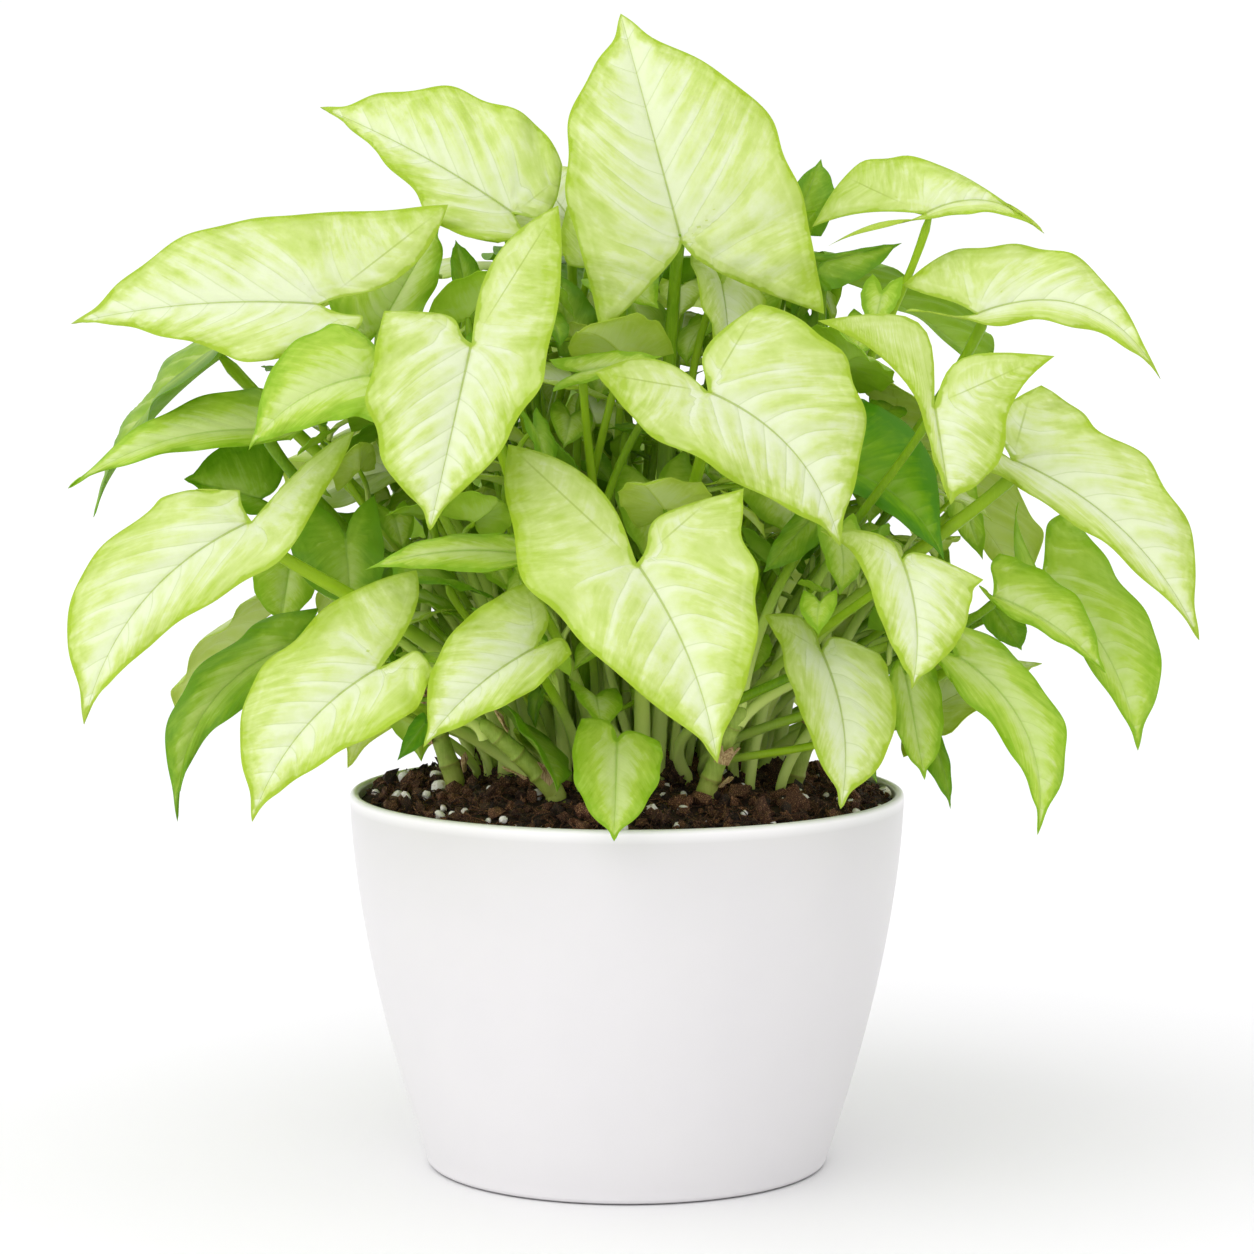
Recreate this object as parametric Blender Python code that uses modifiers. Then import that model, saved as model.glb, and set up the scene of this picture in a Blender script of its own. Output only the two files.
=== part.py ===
"""A bushy arrowhead plant in its white pot: pot, soil, leafy canes and long-stalked arrow-shaped leaves.

The frame: metres, +Z up, the origin under the middle of the pot on the surface that it stands on,
and -Y towards the viewer of the plant's best side.
"""

import math
import random
from collections import namedtuple

import bmesh
import bpy
from mathutils import Vector, noise
from mathutils.bvhtree import BVHTree

MM = 0.001

# Pot
POT_HEIGHT = 0.1156
RIM_RADIUS = 0.0850
BASE_RADIUS = 0.0612
WALL = 0.0028
POT_FLOOR = 0.0045
FOOT_FILLET = 0.0025
FLARE = 1.65
POT_RINGS = (0.018, 0.036, 0.056, 0.078, 0.098)
POT_STEPS = 32

# Soil
SOIL_GAP = 0.0003
SOIL_EDGE_HEIGHT = 0.1122
SOIL_DOME = 0.0105
SOIL_LUMPS = 0.0016
SOIL_LUMP_SIZE = 0.011
SOIL_TOP_RINGS = (0.0, 0.30, 0.60, 0.84, 1.0)
SOIL_SIDE_RINGS = (0.075, 0.036)
SOIL_STEPS = 24
HOLE_DEPTH = 0.011
HOLE_SIDES = 5
HOLE_CLEARANCE = 0.0009

# Leaf stalks and canes
FOOT_RADIUS = 0.0023
NECK_RADIUS = 0.0012
STALK_SIDES_LEVEL = 1
STALK_STEPS = 5
SMALL_STALK_STEPS = 4
SMALL_STALK_RADIUS = 0.0015
CANE_RADIUS = 0.0040
CANE_TAPER = (1.0, 1.0, 0.92, 0.78)
STALK_RISE = 0.0025
STALK_END = 0.0006
SMALL_STALK_DROP = 0.004
FOOT_SPACING = 0.0092
FOOT_CIRCLE = 0.064

# Blades
BLADE_THICKNESS = 0.0008
RIB_THICKNESS = 0.0018
SINUS_ROW = 0.36
LEAF_ROWS = (0.0, 0.12, 0.24, SINUS_ROW, 0.52, 0.70, 0.86, 1.0)
BACK_LEAF_ROWS = (0.0, 0.18, SINUS_ROW, 0.54, 0.76, 0.90, 1.0)
LEAF_COLUMNS = 2
SMALL_LEAF_ROWS = (0.0, 0.18, SINUS_ROW, 0.58, 0.80, 1.0)
SMALL_LEAF_COLUMNS = 1
EDGE_START = 0.12
ARCH = 0.055
TIP_CURL = 0.7
FOLD = 0.14
CROWN = 0.07
WAVE = 0.024
SCALLOP = 0.035
WAVES = 3.6

# The eye for which the leaves of the best side are laid out: how far it stands before the pot's middle, its
# height, how far it looks down, and the picture plane before it with the height of its middle
EYE_DISTANCE = 1.252
EYE_HEIGHT = 0.2924
EYE_PITCH = math.radians(5.78)
PICTURE_DISTANCE = 1.270
PICTURE_MIDDLE = 0.1653

# Clear room kept round every leaf, and what is tried in turn to keep it: a blade moved along the line of
# sight, a stalk bent aside, and other feet; on the hidden side a blade lifted, moved out and swung round
CLEARANCE = 0.0006
SHIFTS = (0.0, -0.005, 0.005, -0.010, 0.010, -0.016, 0.016, -0.022, 0.022, -0.030, 0.030)
SWAYS = (0.0, 0.012, -0.012, 0.024, -0.024)
MOST_SLOTS = 8
LIFTS = (0.0, 0.009, -0.009, 0.018, -0.018, 0.027)
REACHES = (0.0, 0.008, -0.008, 0.016)
SWINGS = (0.0, 0.12, -0.12, 0.24, -0.24, 0.36, -0.36)

TONES = {
    "pale": (0.72, 0.84, 0.42, 1.0),
    "lime": (0.48, 0.68, 0.16, 1.0),
    "green": (0.22, 0.46, 0.07, 1.0),
    "dark": (0.06, 0.27, 0.03, 1.0),
}
STALK_COLOUR = (0.24, 0.42, 0.08, 1.0)
POT_COLOUR = (0.86, 0.86, 0.86, 1.0)
SOIL_COLOUR = (0.045, 0.022, 0.014, 1.0)

PLAIN_NOTCH = (0.20, 0.0)

Leaf = namedtuple(
    "Leaf", "name tone at slope tip edge_a lobe_a edge_b lobe_b fullness sweep notch", defaults=(PLAIN_NOTCH,)
)
Blade = namedtuple("Blade", "place normal lift tip sides fullness sweep notch seed")

# Leaves of the best side. All lengths are millimetres in the upright plane through the pot's middle, as
# the eye sees them against it: at = where the stalk joins (right, up, distance behind that plane);
# slope = how far the blade goes back for each millimetre right and up; then the tip, and for each half the
# widest point and the lobe's end, measured from there; the fullness of each half's edge; the sideways bow of
# the midrib; and, where it isn't plain, how far the notch runs on behind the joint and how its sides lean
# together.
LEAVES = (
    Leaf("leaf_top", "pale", (17, 284, -20), (0.08, 0.38), (-19, 71),
         (-34, 8), (-25, -28), (38, 9), (44, -22), (1.9, 3.2), 0, (-0.06, 0.0)),
    Leaf("leaf_front", "pale", (3, 185, -108), (0.08, 0.72), (25, -62),
         (-34, -6), (-40, 37), (36, -1), (33, 23), (1.5, 1.2), 4, (0.2, 0.25)),
    Leaf("leaf_centre_left", "pale", (-48, 253, -76), (-0.20, 0.66), (-13, -58),
         (-31, -8), (-27, 10), (24, -3), (27, 43), (1.8, 1.8), 0, (0.2, 0.4)),
    Leaf("leaf_centre_right", "pale", (25, 238, -72), (0.28, 0.66), (41, -48),
         (-20, -12), (-35, 6), (37, 15), (16, 27), (1.8, 1.5), 8),
    Leaf("leaf_low_left", "pale", (-116, 198, -60), (-0.50, 0.70), (-52, -63),
         (-29, 5), (-11, 9), (6, -15), (32, 28), (3.2, 1.3), -10),
    Leaf("leaf_foot_left", "pale", (-76, 153, -92), (-0.42, 0.75), (-40, -48),
         (-26, 9), (11, 30), (8, -16), (16, -1), (2.4, 1.2), -6),
    Leaf("leaf_inner_left", "pale", (-28, 159, -94), (-0.20, 0.72), (-35, -31),
         (-20, 10), (-3, 20), (-2, -14), (11, -2), (1.7, 1.5), -3),
    Leaf("leaf_little_heart", "lime", (-3, 131, -84), (0.00, 0.55), (-1, -32),
         (-14, -6), (-11, 6), (14, -6), (13, -1), (1.9, 1.9), 0),
    Leaf("leaf_foot_right", "pale", (60, 158, -72), (0.25, 0.70), (6, -49),
         (-11, -6), (-18, 11), (22, -12), (18, -1), (2.2, 1.6), 4),
    Leaf("leaf_mid_right", "pale", (85, 186, -80), (0.30, 0.72), (3, -40),
         (-10, -9), (-25, 9), (21, -14), (25, -6), (1.8, 1.2), 3),
    Leaf("leaf_far_right", "pale", (119, 217, -35), (0.50, 0.75), (58, -56),
         (26, 10), (9, 23), (5, -11), (-11, -3), (2.4, 2.4), 8),
    Leaf("leaf_bow_right", "pale", (95, 234, -62), (0.32, 0.60), (5, -31),
         (-3, -5), (-36, 26), (22, -8), (37, 15), (1.8, 1.8), 0),
    Leaf("leaf_dark_right", "dark", (67, 214, -46), (0.25, 0.60), (31, -28),
         (11, 19), (3, 22), (2, -7), (-5, -4), (3.0, 3.0), 5),
    Leaf("leaf_hang_right", "lime", (101, 157, -50), (0.45, 0.75), (26, -56),
         (20, -3), (4, 8), (1, -12), (-5, -3), (2.8, 2.0), 10),
    Leaf("leaf_olive_right", "lime", (113, 175, -42), (0.40, 0.70), (35, -24),
         (12, 9), (2, 13), (4, -6), (-2, 2), (2.6, 2.2), 3),
    Leaf("leaf_green_right", "green", (128, 181, -15), (0.55, 0.60), (30, -54),
         (-4, -5), (-7, 23), (23, 0), (8, 20), (2.0, 2.8), 6),
    Leaf("leaf_high_left", "pale", (-35, 293, 2), (-0.20, 0.95), (-60, 33),
         (3, 30), (15, 15), (-26, -2), (-5, -9), (1.9, 0.8), -2),
    Leaf("leaf_wing_left", "pale", (-95, 265, -40), (-0.35, 0.90), (-77, -6),
         (-11, 27), (40, 31), (-24, -18), (11, -9), (1.9, 0.9), -3),
    Leaf("leaf_small_left", "lime", (-79, 243, -62), (-0.35, 0.65), (-38, -23),
         (-14, 15), (-4, 14), (-11, -14), (2, -15), (2.0, 2.0), -5),
    Leaf("leaf_blade_left", "lime", (-109, 226, -12), (-0.20, 1.10), (-64, -18),
         (-6, 13), (3, 9), (-8, -5), (5, -3), (1.8, 1.8), -6),
    Leaf("leaf_droop_left", "green", (-101, 161, -36), (-0.45, 0.60), (-38, -56),
         (-18, 1), (3, 9), (-8, -15), (8, -8), (3.0, 1.6), -12),
    Leaf("leaf_short_left", "lime", (-32, 188, -84), (-0.15, 0.90), (-49, -5),
         (-12, 6), (2, 5), (-14, -6), (2, -3), (1.7, 1.7), -3),
    Leaf("leaf_high_right", "lime", (92, 293, 4), (0.15, 1.20), (37, -6),
         (-15, 17), (-35, -4), (4, -2), (-30, -10), (1.9, 2.0), 7),
    Leaf("leaf_arch_right", "pale", (108, 262, -6), (0.20, 1.05), (57, -20),
         (6, 20), (-23, 9), (4, -4), (-22, 1), (2.6, 2.0), 13),
    Leaf("leaf_back_olive", "green", (-78, 255, 18), (-0.15, 0.20), (20, 35),
         (-14, 14), (-9, 2), (14, 6), (8, -3), (2.4, 2.4), 0),
    Leaf("leaf_back_left", "green", (-113, 205, 14), (-0.10, 0.80), (-24, 6),
         (0, 19), (8, 12), (-3, -5), (3, -5), (2.0, 2.0), 0),
    Leaf("leaf_shade_left", "green", (-87, 193, -18), (-0.15, 0.60), (2, -23),
         (-17, -3), (-14, 12), (12, -4), (9, 13), (2.5, 2.5), 0),
    Leaf("leaf_fold_centre", "lime", (-15, 244, -48), (0.00, 0.80), (26, 5),
         (5, 6), (-9, 4), (3, -3), (-8, -6), (1.8, 1.8), 0),
    Leaf("leaf_small_right", "lime", (86, 151, -44), (0.25, 0.60), (6, -33),
         (-5, -8), (-4, 2), (11, -6), (9, 3), (2.2, 2.2), 0),
    Leaf("leaf_tail_right", "green", (90, 138, -26), (0.25, 0.60), (10, -29),
         (-4, -6), (-3, 1), (6, -4), (4, 2), (1.6, 1.6), 2),
)

# Short thick canes: foot (right, back), top (right, back, up), and the small leaves that grow from the top.
CANES = (
    ("cane_front_left", (-21, -49), (-42, -55, 142), (
        Leaf("", "dark", (-62, 136, -60), (0.0, 0.3), (-9, -12),
             (-4, 1), (-1, 3), (2, -4), (3, -1), (1.8, 1.8), 0),
        Leaf("", "lime", (-104, 185, -4), (0.0, 0.2), (-3, -19),
             (-12, -3), (-6, 2), (9, -5), (6, 1), (2.0, 2.0), 0),
    )),
    ("cane_front_right", (23, -50), (33, -54, 146), (
        Leaf("", "green", (58, 200, -48), (0.0, 0.3), (-16, -18),
             (-8, -2), (-3, 5), (2, -8), (4, -3), (2.0, 2.0), 0),
        Leaf("", "green", (113, 172, -24), (0.1, 0.3), (9, -14),
             (9, -2), (3, 3), (-3, -6), (-4, -2), (2.0, 2.0), 0),
    )),
    ("cane_left", (-52, -20), (-62, -22, 148), (
        Leaf("", "green", (-49, 266, 14), (0.0, 0.2), (-4, 19),
             (-5, 6), (-3, -2), (5, 6), (3, -2), (2.0, 2.0), 0),
    )),
    ("cane_right", (50, -22), (60, -24, 150), (
        Leaf("", "lime", (103, 206, 6), (0.0, 0.2), (7, -20),
             (-5, -3), (-4, 3), (6, -3), (5, 3), (2.0, 2.0), 0),
        Leaf("", "green", (60, 278, 8), (0.1, 0.4), (25, 6),
             (6, 3), (-2, 3), (5, -8), (1, -9), (1.8, 1.8), 0),
    )),
    ("cane_back_left", (-30, 38), (-36, 46, 150), (
        Leaf("", "pale", (-11, 278, 4), (0.0, 0.2), (-5, 22),
             (-9, 3), (-7, -1), (9, 3), (6, -2), (2.0, 2.0), 0),
        Leaf("", "green", (-17, 252, 10), (0.0, 0.2), (-5, 24),
             (-7, 9), (-4, -3), (9, 6), (6, -2), (2.0, 2.0), 0),
    )),
    ("cane_back_right", (28, 40), (34, 48, 152), (
        Leaf("", "green", (52, 289, 28), (0.0, 0.2), (8, 21),
             (-5, 6), (-4, -2), (12, 5), (8, -3), (1.6, 1.6), 0),
        Leaf("", "lime", (36, 266, 14), (0.0, 0.2), (-6, 14),
             (-9, 5), (-8, -2), (12, 3), (9, -3), (2.0, 2.0), 0),
    )),
)

# The hidden side, in tiers: how many leaves, their distance from the pot's axis, height, length and pitch,
# and the share of the half turn behind the plant over which they spread.
BACK_TIERS = (
    ("low", 7, 0.094, 0.174, 0.062, -50.0, 0.70),
    ("middle", 7, 0.100, 0.220, 0.072, -40.0, 0.78),
    ("high", 5, 0.074, 0.264, 0.070, -20.0, 0.76),
    ("crown", 2, 0.034, 0.292, 0.058, 14.0, 0.50),
)
BACK_SEED = 12
HALF_TURN = math.pi


def clear_scene():
    for thing in list(bpy.data.objects):
        bpy.data.objects.remove(thing, do_unlink=True)


def new_collection(name, shown=True):
    made = bpy.data.collections.new(name)
    made.hide_render = not shown
    bpy.context.scene.collection.children.link(made)
    return made


def plain_material(name, colour, roughness):
    made = bpy.data.materials.new(name)
    made.use_nodes = True
    made.diffuse_color = colour
    shader = made.node_tree.nodes["Principled BSDF"]
    shader.inputs["Base Color"].default_value = colour
    shader.inputs["Roughness"].default_value = roughness
    shader.inputs["Metallic"].default_value = 0.0
    return made


def new_object(name, mesh, collection):
    made = bpy.data.objects.new(name, mesh)
    collection.objects.link(made)
    return made


def freeze(thing):
    """Turns a curve, or an object with modifiers, into a plain mesh object of the same name and place."""
    graph = bpy.context.evaluated_depsgraph_get()
    mesh = bpy.data.meshes.new_from_object(thing.evaluated_get(graph))
    frozen = bpy.data.objects.new(thing.name + "_mesh", mesh)
    frozen.matrix_world = thing.matrix_world
    for collection in thing.users_collection:
        collection.objects.link(frozen)
    name = thing.name
    bpy.data.objects.remove(thing, do_unlink=True)
    frozen.name = name
    return frozen


def corners(meshes):
    """The low and high corner of a group of meshes that share one frame."""
    points = [vertex.co for mesh in meshes for vertex in mesh.vertices]
    low = Vector([min(point[axis] for point in points) for axis in range(3)])
    high = Vector([max(point[axis] for point in points) for axis in range(3)])
    return low, high


def boolean(thing, parts, operation):
    """Applies one Boolean between an object and a group of others, which are then removed. A union that has
    lost the end of a part is made again by the second solver."""
    group = bpy.data.collections.new("tools of " + thing.name)
    bpy.context.scene.collection.children.link(group)
    for part in parts:
        for collection in part.users_collection:
            collection.objects.unlink(part)
        group.objects.link(part)
    modifier = thing.modifiers.new(operation.lower(), "BOOLEAN")
    modifier.operation = operation
    modifier.operand_type = "COLLECTION"
    modifier.collection = group
    if operation == "UNION":
        low, high = corners([thing.data] + [part.data for part in parts])
        whole = False
        for solver in ("EXACT", "MANIFOLD"):
            if not whole:
                modifier.solver = solver
                graph = bpy.context.evaluated_depsgraph_get()
                made_low, made_high = corners([thing.evaluated_get(graph).data])
                whole = (made_low - low).length < CLEARANCE and (made_high - high).length < CLEARANCE
    else:
        modifier.solver = "EXACT"
    done = freeze(thing)
    for part in parts:
        bpy.data.objects.remove(part, do_unlink=True)
    bpy.data.collections.remove(group)
    return done


# Pot and soil


def pot_radius(height):
    """Outer radius: nearly straight up at the rim, and drawn in more and more towards the foot."""
    share = min(max(height / POT_HEIGHT, 0.0), 1.0)
    return BASE_RADIUS + (RIM_RADIUS - BASE_RADIUS) * (1.0 - (1.0 - share) ** FLARE)


def turned(name, profile, steps, collection):
    """A closed body turned round the upright axis from a profile that starts and ends on that axis."""
    mesh = bpy.data.meshes.new(name)
    points = [(radius, 0.0, height) for radius, height in profile]
    mesh.from_pydata(points, [(i, i + 1) for i in range(len(points) - 1)], [])
    thing = new_object(name, mesh, collection)
    screw = thing.modifiers.new("turn", "SCREW")
    screw.steps = steps
    screw.render_steps = steps
    screw.use_merge_vertices = True
    screw.merge_threshold = 0.00001
    return freeze(thing)


def make_pot(collection):
    """The pot as one turned body: inner wall, rounded lip, outer wall, rounded foot and flat underside."""
    lip = WALL / 2
    profile = [(0.0, POT_FLOOR)]
    for height in (POT_FLOOR,) + POT_RINGS:
        profile.append((pot_radius(height) - WALL, height))
    for turn in (150, 90, 30):
        angle = math.radians(turn)
        along = RIM_RADIUS - lip + lip * math.cos(angle)
        profile.append((along, POT_HEIGHT - lip + lip * math.sin(angle)))
    profile += [(pot_radius(height), height) for height in reversed(POT_RINGS)]
    for turn in (0, 45, 90):
        angle = math.radians(turn)
        reach = pot_radius(FOOT_FILLET) - FOOT_FILLET + FOOT_FILLET * math.cos(angle)
        profile.append((reach, FOOT_FILLET * (1.0 - math.sin(angle))))
    profile.append((0.0, 0.0))
    pot = turned("pot", profile, POT_STEPS, collection)
    pot.data.materials.append(plain_material("white pot", POT_COLOUR, 0.35))
    pot.data.shade_smooth()
    pot.data.set_sharp_from_angle(angle=math.radians(40))
    return pot


def soil_height(across, back):
    """Height of the soil's top: a low dome from the wall to the middle of the clump."""
    share = min(math.hypot(across, back) / (RIM_RADIUS - WALL), 1.0)
    return SOIL_EDGE_HEIGHT + SOIL_DOME * (1.0 - share**2.2)


def make_soil(collection, holes):
    """The soil as one body, clear of the pot all round, with a hole for each stalk and cane."""
    wall = WALL + SOIL_GAP
    edge = pot_radius(SOIL_EDGE_HEIGHT) - wall
    bottom = POT_FLOOR + SOIL_GAP
    profile = [(edge * ring, soil_height(edge * ring, 0.0)) for ring in SOIL_TOP_RINGS]
    profile += [(pot_radius(height) - wall - SOIL_GAP, height) for height in SOIL_SIDE_RINGS + (bottom,)]
    profile.append((0.0, bottom))
    soil = turned("soil", profile, SOIL_STEPS, collection)
    for vertex in soil.data.vertices:
        away = math.hypot(vertex.co.x, vertex.co.y)
        if away < edge - SOIL_GAP and vertex.co.z > SOIL_EDGE_HEIGHT:
            vertex.co.z += SOIL_LUMPS * noise.noise(vertex.co / SOIL_LUMP_SIZE)
    cutters = []
    for foot, radius in holes:
        bpy.ops.mesh.primitive_cylinder_add(
            vertices=HOLE_SIDES,
            radius=radius + HOLE_CLEARANCE,
            depth=2 * HOLE_DEPTH,
            location=(foot.x, foot.y, soil_height(foot.x, foot.y)),
        )
        cutters.append(bpy.context.object)
    soil = boolean(soil, cutters, "DIFFERENCE")
    soil.data.materials.clear()
    soil.data.materials.append(plain_material("potting soil", SOIL_COLOUR, 0.95))
    return soil


# Blades


def seen(right, up, back):
    """The point this far behind the middle plane that the eye sees over (right, up) in its picture."""
    eye = Vector((0.0, -EYE_DISTANCE, EYE_HEIGHT))
    ahead = Vector((0.0, math.cos(EYE_PITCH), -math.sin(EYE_PITCH)))
    upward = Vector((0.0, math.sin(EYE_PITCH), math.cos(EYE_PITCH)))
    ray = ahead * PICTURE_DISTANCE + Vector((right, 0.0, 0.0)) + upward * (up - PICTURE_MIDDLE)
    return eye + ray * ((EYE_DISTANCE + back) / ray.y)


def blade_of(leaf, shift):
    """A blade of the best side, moved along the line of sight by shift. Its relief goes along that line too,
    so that it doesn't change the outline that the eye sees."""
    slope = leaf.slope
    at = [value * MM for value in leaf.at]

    def place(right, up):
        back = at[2] + shift + slope[0] * right + slope[1] * up
        return seen(at[0] + right, at[1] + up, back)

    scaled = [Vector(pair) * MM for pair in (leaf.tip, leaf.edge_a, leaf.lobe_a, leaf.edge_b, leaf.lobe_b)]
    tip, edge_a, lobe_a, edge_b, lobe_b = scaled
    across = Vector((slope[0], -1.0, slope[1]))
    towards_eye = (Vector((0.0, -EYE_DISTANCE, EYE_HEIGHT)) - place(0.0, 0.0)).normalized()
    lift = towards_eye * across.length
    sides = ((edge_a, lobe_a), (edge_b, lobe_b))
    sweep = leaf.sweep * MM
    seed = leaf.at[0] + leaf.at[1]
    return Blade(place, across.normalized(), lift, tip, sides, leaf.fullness, sweep, leaf.notch, seed)


def free_blade(joint, outward, pitch, roll, length, draw):
    """A blade at any place: it points outward at this pitch, with its upper face up and out."""
    along = (outward * math.cos(pitch) + Vector((0.0, 0.0, math.sin(pitch)))).normalized()
    side = along.cross(Vector((0.0, 0.0, 1.0))).normalized()
    face = side.cross(along).normalized()
    side = (side * math.cos(roll) + face * math.sin(roll)).normalized()
    face = side.cross(along).normalized()

    def place(right, up):
        return joint + side * right + along * up

    sides = []
    for sign in (-1.0, 1.0):
        wide = draw.uniform(0.44, 0.52) * length
        edge = Vector((sign * wide, 0.10 * length))
        lobe = Vector((sign * wide * draw.uniform(0.70, 0.95), -draw.uniform(0.30, 0.48) * length))
        sides.append((edge, lobe))
    bow = draw.uniform(-0.06, 0.06) * length
    fullness = [draw.uniform(1.6, 2.4)] * 2
    tip = Vector((0.0, length))
    return Blade(place, face, face, tip, tuple(sides), fullness, bow, PLAIN_NOTCH, draw.random() * 50.0)


def bezier2(first, middle, last, share):
    rest = 1.0 - share
    return first * rest * rest + middle * (2.0 * rest * share) + last * share * share


def midrib(blade, along):
    """The point of the flat midrib at this share of the way from the joint to the tip."""
    sideways = Vector((-blade.tip.y, blade.tip.x)).normalized()
    return blade.tip * along + sideways * (blade.sweep * 4.0 * along * (1.0 - along))


def half_border(blade, edge, lobe, row):
    """The inner and outer border points of one half at a row, from the lobe's end (0) to the tip (1)."""
    length = blade.tip.length
    forward = blade.tip.normalized()
    start = midrib(blade, EDGE_START)
    if row < SINUS_ROW:
        share = row / SINUS_ROW
        behind = max(-lobe.dot(forward), 0.0)
        aside = lobe + forward * behind
        inner_bend = forward * -(blade.notch[0] * length + 0.40 * behind) - aside * blade.notch[1]
        inner = bezier2(lobe, inner_bend, Vector((0.0, 0.0)), share)
        outer_bend = edge + forward * ((lobe - edge).dot(forward) * 0.60)
        outer = bezier2(lobe, outer_bend, edge, share)
    else:
        share = (row - SINUS_ROW) / (1.0 - SINUS_ROW)
        inner = midrib(blade, share)
        fullness = blade.fullness[0 if edge == blade.sides[0][0] else 1]
        width = (1.0 - share**fullness) * (1.0 - 0.35 * share**6)
        outer = midrib(blade, EDGE_START + (1.0 - EDGE_START) * share) + (edge - start) * width
    ripple = math.sin(math.tau * WAVES * row + blade.seed)
    outer = outer + (outer - inner) * (SCALLOP * ripple * math.sin(math.pi * row))
    return inner, outer


def blade_point(blade, edge, lobe, row, across):
    """A point of the blade's middle surface, and its distance above the flat plane of the leaf."""
    inner, outer = half_border(blade, edge, lobe, row)
    flat = inner.lerp(outer, across)
    length = blade.tip.length
    forward = blade.tip.normalized()
    along = flat.dot(forward) / length
    aside = abs(flat.x * forward.y - flat.y * forward.x)
    if along > 0.0:
        height = ARCH * length * 4.0 * along * (1.0 - along)
    else:
        height = ARCH * length * 4.0 * along
    height -= TIP_CURL * length * max(along - 0.8, 0.0) ** 2
    height += FOLD * aside
    height += CROWN * (outer - inner).length * math.sin(math.pi * across)
    ripple = math.sin(math.tau * WAVES * row + blade.seed * 1.7)
    height += WAVE * length * ripple * across**2 * math.sin(math.pi * row) ** 0.5
    return blade.place(flat.x, flat.y) + blade.lift * height


def blade_sheet(blade, rows, columns):
    """Points and triangles of the blade's middle surface. Its two halves share the midrib."""
    points = []
    faces = []
    shared = {}
    for side, (edge, lobe) in enumerate(blade.sides):
        left = blade.tip.x * edge.y - blade.tip.y * edge.x > 0.0
        grid = []
        for row in rows:
            line = []
            for column in range(columns + 1):
                on_rib = column == 0 and row >= SINUS_ROW
                key = ("rib", row) if on_rib or row == rows[-1] else (side, row, column)
                if row == rows[0]:
                    key = (side, row)
                if key not in shared:
                    shared[key] = len(points)
                    points.append(blade_point(blade, edge, lobe, row, column / columns))
                line.append(shared[key])
            grid.append(line)
        for low, high in zip(grid, grid[1:]):
            for column in range(columns):
                corners = [low[column], high[column], high[column + 1], low[column + 1]]
                if not left:
                    corners.reverse()
                for triangle in ((0, 1, 2), (0, 2, 3)):
                    face = [corners[i] for i in triangle]
                    if len(set(face)) == 3:
                        faces.append(face)
    return points, faces, shared


def make_blade(name, blade, rows, columns, collection):
    """A blade as one thin closed body, thickest along the midrib."""
    points, faces, shared = blade_sheet(blade, rows, columns)
    mesh = bpy.data.meshes.new(name)
    mesh.from_pydata(points, [], faces)
    thing = new_object(name, mesh, collection)
    ribs = thing.vertex_groups.new(name="thickness")
    for key, index in shared.items():
        if key[0] == "rib":
            share = (key[1] - SINUS_ROW) / (1.0 - SINUS_ROW)
            weight = 1.0 + (BLADE_THICKNESS / RIB_THICKNESS - 1.0) * share
        else:
            weight = BLADE_THICKNESS / RIB_THICKNESS
        ribs.add([index], weight, "REPLACE")
    solid = thing.modifiers.new("thickness", "SOLIDIFY")
    solid.thickness = RIB_THICKNESS
    solid.offset = -1.0
    solid.vertex_group = ribs.name
    return freeze(thing)


# Stalks


def bezier3(first, second, third, last, share):
    rest = 1.0 - share
    near = first * rest**3 + second * (3.0 * rest * rest * share)
    return near + third * (3.0 * rest * share * share) + last * share**3


def stalk_path(start, blade, sway, steps):
    """Points from where a stalk leaves the ground or its cane to just above the blade's notch."""
    edge, lobe = blade.sides[0]
    joint = blade_point(blade, edge, lobe, SINUS_ROW + 0.03, 0.0)
    reach = joint - start
    flat_reach = Vector((reach.x, reach.y, 0.0))
    aside = Vector((-reach.y, reach.x, 0.0))
    aside = aside.normalized() * sway if aside.length > 1e-6 else Vector((sway, 0.0, 0.0))
    second = start + Vector((0.0, 0.0, max(reach.z, 0.02) * 0.50)) + flat_reach * 0.10 + aside
    third = joint - reach * 0.16 - blade.normal * (0.14 * reach.length) + aside * 0.5
    last = joint + blade.normal * STALK_END
    return [bezier3(start, second, third, last, step / steps) for step in range(steps + 1)]


def make_tube(name, path, radii, collection):
    """A closed tube along a path, with a radius for each of its points."""
    data = bpy.data.curves.new(name, "CURVE")
    data.dimensions = "3D"
    data.bevel_depth = 1.0
    data.bevel_resolution = STALK_SIDES_LEVEL
    data.use_fill_caps = True
    spline = data.splines.new("POLY")
    spline.points.add(len(path) - 1)
    for point, place, radius in zip(spline.points, path, radii):
        point.co = (place.x, place.y, place.z, 1.0)
        point.radius = radius
    thing = freeze(new_object(name, data, collection))
    weld(thing.data)
    return thing


def weld(mesh):
    """Joins the doubled points of a curve's caps and turns all faces outwards."""
    shape = bmesh.new()
    shape.from_mesh(mesh)
    bmesh.ops.remove_doubles(shape, verts=shape.verts, dist=0.00001)
    bmesh.ops.recalc_face_normals(shape, faces=shape.faces)
    shape.to_mesh(mesh)
    shape.free()


def taper(count, thick, thin):
    return [thick + (thin - thick) * i / (count - 1) for i in range(count)]


# Clear room between leaves


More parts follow.
